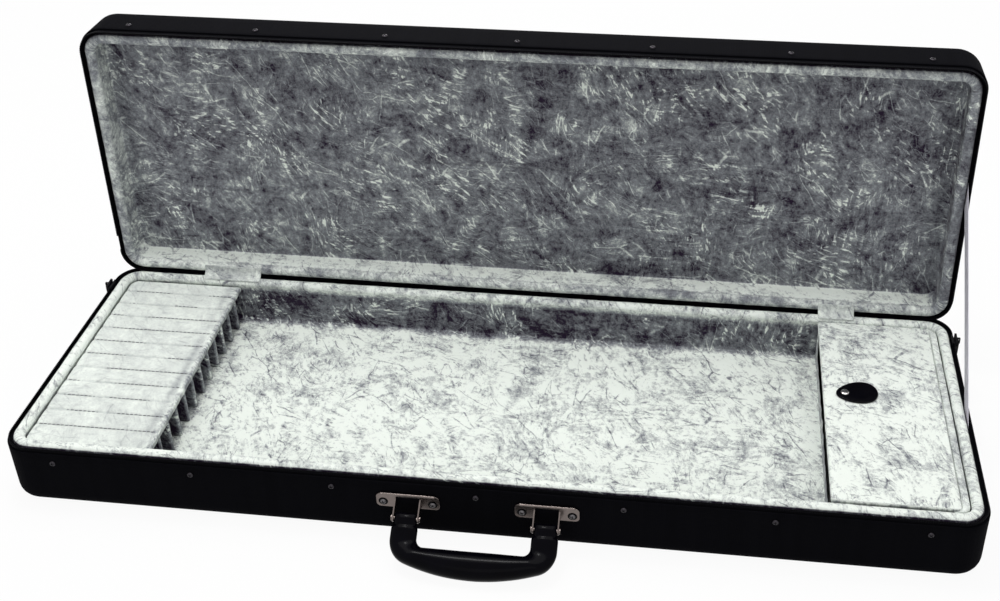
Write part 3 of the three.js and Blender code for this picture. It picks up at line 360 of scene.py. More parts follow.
def round_rectangle(half_x, half_y, radius, along, across, steps):
    """Points round a rectangle with round corners, and the way out at each."""
    corners = []
    for side_x, side_y, start in ((1, 1, 0), (-1, 1, 90), (-1, -1, 180), (1, -1, 270)):
        turns = np.radians(np.linspace(start, start + 90, steps + 1))
        out = np.stack([np.cos(turns), np.sin(turns)], 1)
        middle = np.array([side_x * (half_x - radius), side_y * (half_y - radius)])
        corners.append((middle + radius * out, out))
    points, ways = [], []
    for i, (corner, out) in enumerate(corners):
        following = corners[(i + 1) % 4][0][0]
        shares = np.linspace(0, 1, (along, across)[i % 2] + 1)[1:-1, None]
        points += [corner, corner[-1] + (following - corner[-1]) * shares]
        ways += [out, np.repeat(out[-1:], len(shares), 0)]
    return np.concatenate(points), np.concatenate(ways)


def case_ring(inset):
    """Ring of the case's outline, moved in from its outer face."""
    radius = max(CORNER_RADIUS - inset, TIGHTEST_CORNER)
    return round_rectangle(
        HALF_LENGTH - inset, HALF_WIDTH - inset, radius, ALONG_STEPS, ACROSS_STEPS, CORNER_STEPS)


def waves(points, wave_length, seed):
    """Smooth noise from -1 to 1 at each point."""
    shift = Vector((seed * 7.3, seed * 3.1, seed * 1.7))
    return np.array([noise.noise(Vector(point) / wave_length + shift) for point in points])


def ruffle(piece, depths, wave_length, seed):
    """Moves the points of a soft piece in and out along their normals."""
    mesh = piece.data
    points = np.array([vertex.co for vertex in mesh.vertices])
    normals = np.array([vertex.normal for vertex in mesh.vertices])
    amount = waves(points, wave_length, seed) * 0.65 + waves(points, wave_length / 2.6, seed + 1) * 0.35
    points += normals * (amount * depths)[:, None]
    mesh.vertices.foreach_set("co", points.astype(np.float32).ravel())
    mesh.update()


def tray(name, half, rows, flat_from, look, painted_lights=None, crushes=None):
    """Tray over rows of inset and height; its cloth coordinates unroll from the edge of the flat floor."""
    rings = [case_ring(inset) for inset, _ in rows]
    edge, ways = rings[flat_from]
    count, lengths = len(edge), run_lengths(rows)
    sides = np.clip(np.stack([-ways[:, 1], ways[:, 1], -ways[:, 0], ways[:, 0]]), 0, 1) ** 2
    points, lay, painted_light = [], [], []
    for i, (inset, height) in enumerate(rows):
        ring = rings[i][0]
        points.append(np.column_stack([ring, np.full(count, height)]))
        rolled = ring if i >= flat_from else edge + ways * (lengths[flat_from] - lengths[i])
        lay.append(np.column_stack([rolled * (1, -1 if half is LID else 1), np.zeros(count)]))
        # painted light of each row, blended by the side each point faces, less towards the lid's right end
        if painted_lights:
            fall = PAINTED_LIGHT_FALL * ring[:, 0] / HALF_LENGTH * (half is LID)
            painted_light.append(np.broadcast_to(painted_lights[i], len(sides)) @ sides - fall)
    return new_piece(
        name, in_place(half, np.concatenate(points)), skin_faces(len(rows), count), look, np.concatenate(lay),
        np.concatenate(painted_light) if painted_lights else None, np.repeat(crushes, count) if crushes else None)


# Shader helpers

class Net:
    """Adds linked nodes to a node tree."""

    def __init__(self, tree):
        self.tree = tree

    def add(self, kind, sockets=None, **settings):
        node = self.tree.nodes.new(kind)
        for name, value in settings.items():
            setattr(node, name, value)
        for name, value in (sockets or {}).items():
            self.set(node.inputs[name], value)
        return node

    def set(self, socket, value):
        if isinstance(value, bpy.types.NodeSocket):
            self.tree.links.new(value, socket)
        else:
            socket.default_value = value

    def math(self, operation, first, second=0.0, third=0.0):
        node = self.add("ShaderNodeMath", operation=operation)
        for socket, value in zip(node.inputs, (first, second, third)):
            self.set(socket, value)
        return node.outputs[0]

    def vector(self, operation, first, second=(0, 0, 0)):
        node = self.add("ShaderNodeVectorMath", operation=operation)
        self.set(node.inputs[0], first)
        self.set(node.inputs["Scale"] if operation == "SCALE" else node.inputs[1], second)
        return node.outputs[0]

    def noise(self, where, scale, detail=2.0, roughness=0.5, flat=True):
        node = self.add(
            "ShaderNodeTexNoise",
            {"Vector": where, "Scale": scale, "Detail": detail, "Roughness": roughness},
            noise_dimensions="2D" if flat else "3D")
        return node.outputs

    def spread(self, value, low, high, to_low=0.0, to_high=1.0, smooth=False):
        node = self.add(
            "ShaderNodeMapRange",
            {"Value": value, "From Min": low, "From Max": high, "To Min": to_low, "To Max": to_high},
            interpolation_type="SMOOTHSTEP" if smooth else "LINEAR")
        return node.outputs[0]

    def mix(self, share, first, second):
        node = self.add("ShaderNodeMix", data_type="RGBA")
        for socket, value in zip((node.inputs[0], node.inputs[6], node.inputs[7]), (share, first, second)):
            self.set(socket, value)
        return node.outputs[2]

    def attribute(self, name, output):
        return self.add("ShaderNodeAttribute", attribute_name=name).outputs[output]


def effect(name, inputs, outputs):
    """New shader node group; gives its net, its inputs by name and its output node."""
    tree = bpy.data.node_groups.new(name, "ShaderNodeTree")
    for label, kind, value in inputs:
        socket = tree.interface.new_socket(name=label, in_out="INPUT", socket_type="NodeSocket" + kind)
        if value is not None:
            socket.default_value = value
    for label, kind in outputs:
        tree.interface.new_socket(name=label, in_out="OUTPUT", socket_type="NodeSocket" + kind)
    given = tree.nodes.new("NodeGroupInput").outputs
    return Net(tree), given, tree.nodes.new("NodeGroupOutput")


def crushed_pile():
    """Colour and relief of plush crushed into small facets, combed patch by patch, with sharp creases; its
    painted light input paints light and shade into the colour.
    """
    net, given, out = effect(
        "Crushed pile",
        [("Lay", "Vector", None), ("Painted light", "Float", 0.5), ("Crush", "Float", 1.0),
         ("Dark", "Color", None), ("Middle", "Color", None), ("Light", "Color", None)],
        [("Color", "Color"), ("Height", "Float")])

    def drifted(where, scale, reach):
        drift = net.vector("SUBTRACT", net.noise(where, scale, 2)["Color"], (0.5, 0.5, 0.5))
        return net.vector("ADD", where, net.vector("SCALE", drift, reach))

    bent = drifted(drifted(given["Lay"], 20, 0.012), 120, 0.0016)
    facets, flecks, creases = [], [], []
    # two sizes of patches, each with its facets' density along and across the comb
    for patches, along, across, finer, shift in ((15, 46, 170, 1.45, 0.0), (34, 95, 330, 1.15, 3.7)):
        moved = net.vector("ADD", bent, (shift, shift * 0.37, 0))
        cells = net.add("ShaderNodeTexVoronoi", {"Vector": moved, "Scale": patches}, voronoi_dimensions="2D")
        patch = net.add("ShaderNodeSeparateColor", {"Color": cells.outputs["Color"]})
        combed = net.add(
            "ShaderNodeVectorRotate",
            {"Vector": moved, "Angle": net.spread(patch.outputs[0], 0, 1, -0.25, 1.75)},
            rotation_type="Z_AXIS").outputs[0]
        stretched = net.vector("MULTIPLY", combed, (along, across, 1))
        facet = net.add("ShaderNodeTexVoronoi", {"Vector": stretched, "Scale": 1}, voronoi_dimensions="2D")
        facets.append(net.add("ShaderNodeSeparateColor", {"Color": facet.outputs["Color"]}).outputs[0])
        flecks.append(net.noise(net.vector("MULTIPLY", stretched, (1, finer, 1)), 1, 2, 0.6)[0])
        edges = net.add(
            "ShaderNodeTexVoronoi", {"Vector": net.vector("SCALE", stretched, 0.36), "Scale": 1},
            feature="DISTANCE_TO_EDGE", voronoi_dimensions="2D")
        line = net.spread(edges.outputs["Distance"], 0.008, 0.040, 1.0, 0.0, smooth=True)
        chosen = net.spread(net.noise(moved, 40, 1)[0], 0.50, 0.62)
        creases.append(net.math("MULTIPLY", line, chosen))
    broad = net.noise(given["Lay"], 11, 2)[0]
    mottle = net.noise(bent, 38, 3, 0.62)[0]
    frizz = net.noise(bent, 230, 3, 0.72)[0]
    specks = net.noise(bent, 95, 2, 0.6)[0]
    grain = net.noise(given["Lay"], 700, 2, 0.7)[0]
    crease = net.math("MAXIMUM", creases[0], net.math("MULTIPLY", creases[1], 0.8))
    both = net.math("MULTIPLY_ADD", flecks[1], 0.5, net.math("MULTIPLY", flecks[0], 0.5))
    clump = net.spread(net.noise(given["Lay"], 19, 2)[0], 0.42, 0.64, 0.05, 1.45)
    raised = net.math("MULTIPLY", net.spread(both, 0.54, 0.65, smooth=True), clump)
    fallen = net.spread(both, 0.455, 0.34, smooth=True)
    swing = net.math("MULTIPLY", net.math("SUBTRACT", facets[0], 0.5), 0.12)
    weights = (facets[1], 0.10), (broad, 0.34), (mottle, 0.70), (specks, 0.45), (frizz, 0.62), (grain, 0.36)
    for part, weight in weights:
        swing = net.math("MULTIPLY_ADD", net.math("SUBTRACT", part, 0.5), weight, swing)
    light_side = net.spread(given["Painted light"], 0.45, 0.8)
    # strokes show light in painted shade, and dark in painted light
    for part, in_dark, in_light in ((raised, 0.40, 0.10), (fallen, -0.06, -0.20), (crease, 0.30, -0.30)):
        swing = net.math("MULTIPLY_ADD", part, net.spread(light_side, 0, 1, in_dark, in_light), swing)
    # the painted light sets the tone, from painted shade in the dark colour to painted light in the light one
    tone = net.math("MULTIPLY_ADD", swing, given["Crush"], given["Painted light"])
    lower = net.mix(net.spread(tone, 0.0, 0.5), given["Dark"], given["Middle"])
    net.set(out.inputs["Color"], net.mix(net.spread(tone, 0.5, 1.0), lower, given["Light"]))
    relief = net.math("MULTIPLY_ADD", facets[0], 0.35, mottle)
    relief = net.math("MULTIPLY_ADD", both, 0.8, relief)
    relief = net.math("MULTIPLY_ADD", crease, -0.35, relief)
    net.set(out.inputs["Height"], net.math("MULTIPLY", relief, given["Crush"]))
    return net.tree


def plain_weave():
    """Relief and shade of a cloth woven over and under."""
    net, given, out = effect(
        "Plain weave", [("Lay", "Vector", None), ("Threads", "Float", 1000.0)],
        [("Height", "Float"), ("Shade", "Float")])
    parts = net.add("ShaderNodeSeparateXYZ", {"Vector": given["Lay"]})
    turns = net.math("MULTIPLY", given["Threads"], math.pi)
    warp = net.math("SINE", net.math("MULTIPLY", parts.outputs[0], turns))
    weft = net.math("SINE", net.math("MULTIPLY", parts.outputs[1], turns))
    over = net.math("MULTIPLY", warp, weft)
    slub = net.noise(given["Lay"], 60, 3, 0.6)[0]
    net.set(out.inputs["Height"], net.math("MULTIPLY_ADD", slub, 0.8, net.math("ABSOLUTE", over)))
    net.set(out.inputs["Shade"], net.math("MULTIPLY_ADD", slub, 0.5, net.spread(over, -1, 1, 0.5, 0.9)))
    return net.tree


def handled_metal():
    """Fine scratches and finger marks on metal, by place."""
    net, given, out = effect(
        "Handled metal", [("Where", "Vector", None), ("Plain", "Float", 0.2), ("Marked", "Float", 0.45)],
        [("Roughness", "Float"), ("Shade", "Float"), ("Height", "Float")])
    smudge = net.noise(given["Where"], 90, 4, 0.6, flat=False)[0]
    brushed = net.noise(net.vector("MULTIPLY", given["Where"], (300, 5000, 5000)), 1, 2, flat=False)[0]
    mixed = net.math("MULTIPLY_ADD", brushed, 0.35, net.math("MULTIPLY", smudge, 0.75))
    net.set(out.inputs["Roughness"], net.math(
        "MULTIPLY_ADD", mixed, net.math("SUBTRACT", given["Marked"], given["Plain"]), given["Plain"]))
    net.set(out.inputs["Shade"], net.spread(smudge, 0.35, 0.7, 0.82, 1.0))
    net.set(out.inputs["Height"], brushed)
    return net.tree


def hide_grain():
    """Pebbled grain of leather or of plastic moulded like it."""
    net, given, out = effect(
        "Hide grain", [("Where", "Vector", None), ("Fineness", "Float", 900.0)],
        [("Height", "Float"), ("Shade", "Float")])
    bent = net.vector("ADD", given["Where"], net.vector(
        "SCALE", net.noise(given["Where"], 300, 2, flat=False)["Color"], 0.0006))
    cells = net.add("ShaderNodeTexVoronoi", {"Vector": bent, "Scale": given["Fineness"]}, feature="F2")
    close = net.add("ShaderNodeTexVoronoi", {"Vector": bent, "Scale": given["Fineness"]})
    groove = net.math("SUBTRACT", cells.outputs["Distance"], close.outputs["Distance"])
    net.set(out.inputs["Height"], net.spread(groove, 0.0, 0.25, smooth=True))
    wear = net.noise(given["Where"], 70, 3, flat=False)[0]
    net.set(out.inputs["Shade"], net.spread(wear, 0.3, 0.7, 0.75, 1.35))
    return net.tree


EFFECTS = {
    "Crushed pile": crushed_pile, "Plain weave": plain_weave,
    "Handled metal": handled_metal, "Hide grain": hide_grain,
}


def placed_effect(net, name, sockets):
    """Puts a shared effect into a material with its own values."""
    tree = bpy.data.node_groups.get(name) or EFFECTS[name]()
    node = net.add("ShaderNodeGroup", node_tree=tree)
    for label, value in sockets.items():
        net.set(node.inputs[label], value)
    return node.outputs


def rgba(colour):
    return (*colour, 1.0)


def surface(name, settings):
    """New material with its net and its Principled shader."""
    look = bpy.data.materials.new(name)
    look.use_nodes = True
    net = Net(look.node_tree)
    shader = look.node_tree.nodes["Principled BSDF"]
    for label, value in settings.items():
        net.set(shader.inputs[label], value)
    return look, net, shader


def finish_look(look, net, shader, colour, height, distance, strength, roughness=None):
    """Links a material's colour, its relief and, where it varies, its roughness."""
    net.set(shader.inputs["Base Color"], colour)
    if roughness is not None:
        net.set(shader.inputs["Roughness"], roughness)
    bump = net.add("ShaderNodeBump", {"Height": height, "Distance": distance, "Strength": strength})
    net.set(shader.inputs["Normal"], bump.outputs[0])
    return look


def place_of(net):
    """Place on a piece, for effects that don't follow a cloth."""
    return net.add("ShaderNodeTexCoord").outputs["Object"]


def plush_look(colours):
    look, net, shader = surface("Silver plush", {
        "Roughness": 0.65, "Specular IOR Level": 0.1, "Sheen Weight": 0.12, "Sheen Roughness": 0.4})
    # the plush's colour carries painted light and shade from the level stored on each point
    pile = placed_effect(net, "Crushed pile", {
        "Lay": net.attribute("lay", "Vector"), "Painted light": net.attribute("painted_light", "Fac"),
        "Crush": net.attribute("crush", "Fac"), "Dark": rgba(colours.pile_painted_shade),
        "Middle": rgba(colours.pile_middle), "Light": rgba(colours.pile_painted_lit)})
    return finish_look(look, net, shader, pile["Color"], pile["Height"], 1.4 * MM, 0.5)


def woven_look(colours, name, threads, roughness, gloss):
    """Black woven cloth that follows the cloth coordinates of its piece."""
    look, net, shader = surface(name, {"Roughness": roughness, "Specular IOR Level": gloss})
    weave = placed_effect(net, "Plain weave", {"Lay": net.attribute("lay", "Vector"), "Threads": threads})
    shade = net.vector("SCALE", colours.cover, weave["Shade"])
    return finish_look(look, net, shader, shade, weave["Height"], 0.15 * MM, 0.6)


def ribbon_look(colours):
    """Woven ribbon, lighter along both edges."""
    look, net, shader = surface("Grey ribbon", {
        "Roughness": 0.55, "Specular IOR Level": 0.3, "Sheen Weight": 0.15})
    lay = net.attribute("lay", "Vector")
    weave = placed_effect(net, "Plain weave", {"Lay": lay, "Threads": 1100})
    across = net.add("ShaderNodeSeparateXYZ", {"Vector": lay}).outputs[0]
    edge = net.spread(net.math("ABSOLUTE", across), 6.2 * MM, 6.8 * MM, 0.85, 1.35, smooth=True)
    shade = net.vector("SCALE", colours.ribbon, net.math("MULTIPLY", weave["Shade"], edge))
    return finish_look(look, net, shader, shade, weave["Height"], 0.1 * MM, 0.6)


def metal_look(colours, name, colour, plain, marked, enamel_gloss=None):
    """Metal with marks of handling, or enamel over it where it has a gloss of its own."""
    bare = enamel_gloss is None
    look, net, shader = surface(
        name, {"Metallic": 1.0} if bare else {"Metallic": 0.0, "Specular IOR Level": enamel_gloss})
    marks = placed_effect(net, "Handled metal", {"Where": place_of(net), "Plain": plain, "Marked": marked})
    shade = net.vector("SCALE", getattr(colours, colour), marks["Shade"])
    return finish_look(
        look, net, shader, shade, marks["Height"], 0.01 * MM, 0.4 if bare else 0.3, marks["Roughness"])


def hide_look(colours, name, fineness, depth, roughness, gloss):
    """Black leather, or plastic moulded like it."""
    look, net, shader = surface(name, {"Roughness": roughness, "Specular IOR Level": gloss})
    grain = placed_effect(net, "Hide grain", {"Where": place_of(net), "Fineness": fineness})
    shade = net.vector("SCALE", colours.moulded, grain["Shade"])
    return finish_look(look, net, shader, shade, grain["Height"], depth, 0.5)


def thread_look(colours):
    look, net, shader = surface("Stitching thread", {"Roughness": 0.6, "Specular IOR Level": 0.2})
    strands = net.noise(net.vector("MULTIPLY", place_of(net), (2500, 6000, 6000)), 1, 2, flat=False)[0]
    shade = net.vector("SCALE", colours.thread, net.spread(strands, 0.3, 0.7, 0.6, 1.3))
    return finish_look(look, net, shader, shade, strands, 0.05 * MM, 0.6)


def plywood_look(_):
    look, net, shader = surface("Plywood", {"Roughness": 0.7})
    rings = net.noise(net.vector("MULTIPLY", place_of(net), (8, 220, 220)), 1, 4, 0.6, flat=False)[0]
    wood = net.mix(net.spread(rings, 0.35, 0.65), (0.30, 0.19, 0.09, 1), (0.46, 0.32, 0.17, 1))
    return finish_look(look, net, shader, wood, rings, 0.1 * MM, 0.4)


# Each material's short name, what makes it, and the values that are its own
LOOKS = {
    "plush": (plush_look,),
    "cover": (woven_look, "Black cover cloth", 1400, 0.7, 0.008),
    "spine": (woven_look, "Black spine tape", 900, 0.8, 0.015),
    "tape": (woven_look, "Black zip tape", 2200, 0.8, 0.03),
    "ribbon": (ribbon_look,),
    "nickel": (metal_look, "Nickel", "nickel", 0.14, 0.34),
    "rivet": (metal_look, "Bright rivet", "rivet", 0.08, 0.22),
    "steel": (metal_look, "Zinc steel", "steel", 0.24, 0.5),
    # the darker steel is painted shade of the cloth dimples round the cover screws
    "dimple shade steel": (metal_look, "Dimple shade steel", "dimple_shade_steel", 0.16, 0.36),
    "enamel": (metal_look, "Black enamel", "moulded", 0.25, 0.5, 0.08),
    "handle": (hide_look, "Moulded handle", 1500, 0.006 * MM, 0.16, 0.04),
    "tab": (hide_look, "Tab leather", 1100, 0.05 * MM, 0.22, 0.06),
    "teeth": (hide_look, "Zip teeth", 2500, 0.02 * MM, 0.4, 0.06),
    "thread": (thread_look,),
    "plywood": (plywood_look,),
}
made_looks = {}


def look_of(name):
    """Material by its short name, made once."""
    if name not in made_looks:
        make, *values = LOOKS[name]
        made_looks[name] = make(bpy.context.scene.bow_case_colours, *values)
    return made_looks[name]


def dress(name, *nodes):
    """Gives CAD nodes that stay in view a better material."""
    for node in nodes:
        for slot in frame["nodes"][node].material_slots:
            slot.material = look_of(name)


def nodes_named(*starts):
    return sorted(node for node in frame["nodes"] if node.startswith(starts))


# Covers and linings

def cover_rows(half):
    """Section of a cover: up its outside, over the lip, across the ledge and back inside."""
    top = half.height - LEDGE_DROP
    lip = COVER_THICK / 2
    inner = EDGE_RADIUS - COVER_THICK
    rows = arc_points(EDGE_RADIUS, EDGE_RADIUS, EDGE_RADIUS, 270, 180, 8)
    rows += line_points((0, EDGE_RADIUS), (0, top - lip), 6)
    rows += arc_points(lip, top - lip, lip, 180, 90, 3)[1:]
    rows += line_points((lip, top), (SHELL_INNER, top), 3)
    rows += [(SHELL_INNER, top - COVER_THICK), (COVER_THICK, top - COVER_THICK)]
    rows += arc_points(EDGE_RADIUS, EDGE_RADIUS, inner, 180, 270, 4)
    return rows


def make_cover(half):
    rows = cover_rows(half)
    piece = tray(half.name + "_cover_cloth", half, rows, 0, look_of("cover"))
    # only the upright walls wander a little; the edges and the ledge stay true
    depths = np.repeat([0.12 * MM if 8 <= i <= 13 else 0 for i in range(len(rows))], len(case_ring(0)[0]))
    ruffle(piece, -depths, 45 * MM, 11)
    return settle(piece, half.name, "cover_fabric", half.name + "_cover")


def lining_rows(half):
    """Section of a lining, with the painted light and the crush of each row: rim roll, wall, fillet and floor.
    """
    roll_z = half.height - LEDGE_DROP + SEAT_GAP
    rise = half.height - ROLL_GAP - roll_z
    tuck = -math.degrees(math.acos((WALL_INNER - ROLL_MIDDLE) / ROLL_HALF))
    tuck_z = roll_z + rise * math.sin(math.radians(tuck))
    floor_edge = WALL_INNER + FLOOR_FILLET
    # painted light of the walls, rolls and floor, lighter or darker by the way each faces
    painted_lights_here = (PAINTED_LIGHT_LID_WALL, PAINTED_LIGHT_LID_ROLL, PAINTED_LIGHT_PANEL), (PAINTED_LIGHT_BASE_WALL, PAINTED_LIGHT_BASE_ROLL, PAINTED_LIGHT_FLOOR)
    wall, roll, flat = painted_lights_here[half is BASE]
    rows, painted_lights, crushes = [], [], []

    def take(points, painted_light, crush):
        rows.extend(points)
        painted_lights.extend([painted_light] * len(points))
        crushes.extend([crush] * len(points))

    take(arc_points(EDGE_RADIUS, EDGE_RADIUS, EDGE_RADIUS - LINING_INSET, 270, 180, 4), wall, 1)
    rounded = arc_points(ROLL_MIDDLE, roll_z, ROLL_HALF, 180, tuck, 18, rise)
    # painted shade on the side of the roll that is turned to the ledge
    take([(LINING_INSET, roll_z)] + rounded[:3], PAINTED_LIGHT_DEEP_SHADE, CRUSH_ROLL)
    take(rounded[3:], roll, CRUSH_ROLL)
    wall_top, wall_end = (WALL_INNER + 0.2 * MM, tuck_z), (WALL_INNER, half.floor + FLOOR_FILLET)
    take(line_points(wall_top, wall_end, 8)[:-1], wall, CRUSH_WALL)
    fillet = arc_points(floor_edge, half.floor + FLOOR_FILLET, FLOOR_FILLET, 180, 270, 5)
    take(fillet[:3], wall, CRUSH_WALL)
    flat_crush = CRUSH_FLOOR if half is BASE else CRUSH_PANEL
    # painted shade on the fillet under the back wall, nearly as dark as the wall
    fillet_painted_light = (flat, wall[1] + 0.15, flat, flat) if half is BASE else flat
    take(fillet[3:], fillet_painted_light, flat_crush)
    flat_from = len(rows) - 1
    reach = HALF_WIDTH - floor_edge - TIGHTEST_CORNER - 1 * MM
    for share in np.linspace(0, 1, 19)[1:]:
        inset = floor_edge + reach * share
        rise_share = min(1, (inset - floor_edge) / LID_CROWN_RUN)
        take([(inset, half.floor + half.crown * math.sin(rise_share * math.pi / 2))], flat, flat_crush)
    return rows, painted_lights, crushes, flat_from


def make_lining(half, sizes):
    rows, painted_lights, crushes, flat_from = lining_rows(half)
    piece = tray(half.name + "_plush_lining", half, rows, flat_from, look_of("plush"), painted_lights, crushes)
    inner = [sizes.roll_ruffle + (0.9 * MM - sizes.roll_ruffle) * max(0, i - 8) / 10 for i in range(19)]
    depths = [0] * 6 + inner
    depths += [0.8 * MM] * (len(rows) - len(depths))
    ruffle(piece, np.repeat(depths, len(case_ring(0)[0])), 26 * MM, sizes.seed)
    if half is BASE:
        shade_slots(piece)
    return settle(piece, half.name, "plush", half.name + "_lining")


def shade_slots(lining):
    """Paints shade on the floor's plush under the tip slab."""
    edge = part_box("tip_slab")[1].x
    painted_lights = lining.data.attributes["painted_light"].data
    for vertex in lining.data.vertices:
        if vertex.co.z < BASE_FLOOR + FLOOR_FILLET:
            painted_lights[vertex.index].value -= 0.5 * min(1, max(0, (edge - vertex.co.x) / (9 * MM)))


# Zip

def zip_end():
    """How far back the zip reaches."""
    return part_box("base_zip_chain")[1].y + 0.1 * MM


def zip_path(to_spine=False):
    """Middle line of the zip along the front and both ends, or on round the back corners to the spine."""
    inset = HALF_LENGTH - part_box("base_zip_chain")[1].x + 0.75 * MM
    ring, ways = case_ring(inset)
    start = 2 * CORNER_STEPS + 1 + ALONG_STEPS
    end = start + 2 * ACROSS_STEPS + 2 * CORNER_STEPS + ALONG_STEPS
    past = ALONG_STEPS // 2 if to_spine else 0
    order = [i % len(ring) for i in range(start - past, end + past + 1)]
    path, ways = along_path(ring[order], ways[order], 1.5 * MM, 0)
    spine_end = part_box("spine_cover")[1].x - 3 * MM
    keep = (path[:, 1] <= zip_end()) | (to_spine & (np.abs(path[:, 0]) >= spine_end))
    return path[keep], ways[keep]


def along_path(path, ways, pitch, first):
    """Places at even steps along a path from a first share of a step, with the way out at each."""
    lengths = run_lengths(path)
    spots = np.arange(pitch * first, lengths[-1], pitch)
    at = np.stack([np.interp(spots, lengths, path[:, i]) for i in (0, 1)], 1)
    out = np.stack([np.interp(spots, lengths, ways[:, i]) for i in (0, 1)], 1)
    return at, out / np.linalg.norm(out, axis=1)[:, None]


def make_zip(half, sizes):
    """Tape that stands on the ledge, and a row of small moulded teeth on its edge."""
    path, ways = zip_path(True)
    bottom = half.height - LEDGE_DROP + SEAT_GAP
    # the base's row stays below the bridge of a slider, which is 2 mm high and lies where the halves meet,
    # and the lid's row closes the gap, but for the place of the parked sliders
    tooth_top = half.height + (-1.1 if half is BASE else 0.95) * MM
    tape_top, tape_low, tape_tall = tooth_top - 0.45 * MM, half.height - 1.4 * MM, half.height - 0.2 * MM
    free_to = zip_end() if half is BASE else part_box("zip_slider_left")[0].y - 2 * MM
    tape_half, tooth_half = 0.3 * MM, 0.75 * MM
    points, lay = [], []
    for spot, way, length in zip(path, ways, run_lengths(path)):
        # the tape goes on round the back corners, higher there, and closes the gap to the other half
        top = tape_top if spot[1] <= free_to else tape_low if spot[1] <= zip_end() else tape_tall
        for across, up in ((-tape_half, bottom), (-tape_half, top), (tape_half, top), (tape_half, bottom)):
            points.append((*(spot + way * across), up))
            lay.append((length, up + across, 0))
    tape = new_piece(
        half.name + "_zip_tape", in_place(half, points), skin_faces(len(path), 4), look_of("tape"), lay,
        smooth=False)
    settle(tape, half.name, "zip_teeth", half.name + "_zip_chain")
    at, out = along_path(*zip_path(), sizes.tooth_pitch, 0.25 if half is BASE else 0.75)
    at, out = at[at[:, 1] <= free_to], out[at[:, 1] <= free_to]
    along = np.stack([-out[:, 1], out[:, 0]], 1)
    wide, rooted = sizes.tooth_pitch * 0.22, 1.7 * MM
    rounds = ((0.0, 0.5, 0.7), (0.15, 0.9, 1.0), (0.7, 1.0, 1.0), (0.92, 0.8, 0.85), (1.0, 0.4, 0.45))
    corners = ((1, 0.45), (0.45, 1), (-0.45, 1), (-1, 0.45), (-1, -0.45), (-0.45, -1), (0.45, -1), (1, -0.45))
    one = np.array([
        (wide * a * narrow, tooth_half * b * thin, tooth_top - (rooted + tooth_top - tape_top) * (1 - up))
        for up, narrow, thin in rounds for a, b in corners])
    skin = skin_faces(len(rounds), len(corners))
    points, faces = [], []
    for i in range(len(at)):
        flat = at[i] + np.outer(one[:, 0], along[i]) + np.outer(one[:, 1], out[i])
        points.append(np.column_stack([flat, one[:, 2]]))
        faces += [tuple(v + i * len(one) for v in face) for face in skin]
    teeth = new_piece(
        half.name + "_zip_teeth", in_place(half, np.concatenate(points)), faces, look_of("teeth"))
    return settle(teeth, half.name, "zip_teeth")


# Tip block

def seam_places():
    """Where the tip block is sewn down, one row over each card, from back to front."""
    boxes = [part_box(node) for node in nodes_named("tip_divider_")]
    return [(low.y + high.y) / 2 for low, high in boxes]


def thinned(values, least):
    """Sorted values without those closer to the one before than a least step."""
    kept = []
    for value in sorted(values):
        if not kept or value - kept[-1] >= least:
            kept.append(value)
    return kept


# Where the tip pad has its rows and columns of points, in millimetres from a seam, a side and an end
SEAM_REACHES = (0, 0.5, 1.1, 2, 3.4, 5.4, 7.8)
SIDE_REACHES = (0.3, 0.9, 1.8, 3, 4.6, 6.4, 8.4)
END_REACHES = (0.15, 0.4, 0.8, 1.3, 1.8, 2.5, 3.3, 4.6, 6, 7.4, 8.8, 10.2, 11.6, 13)


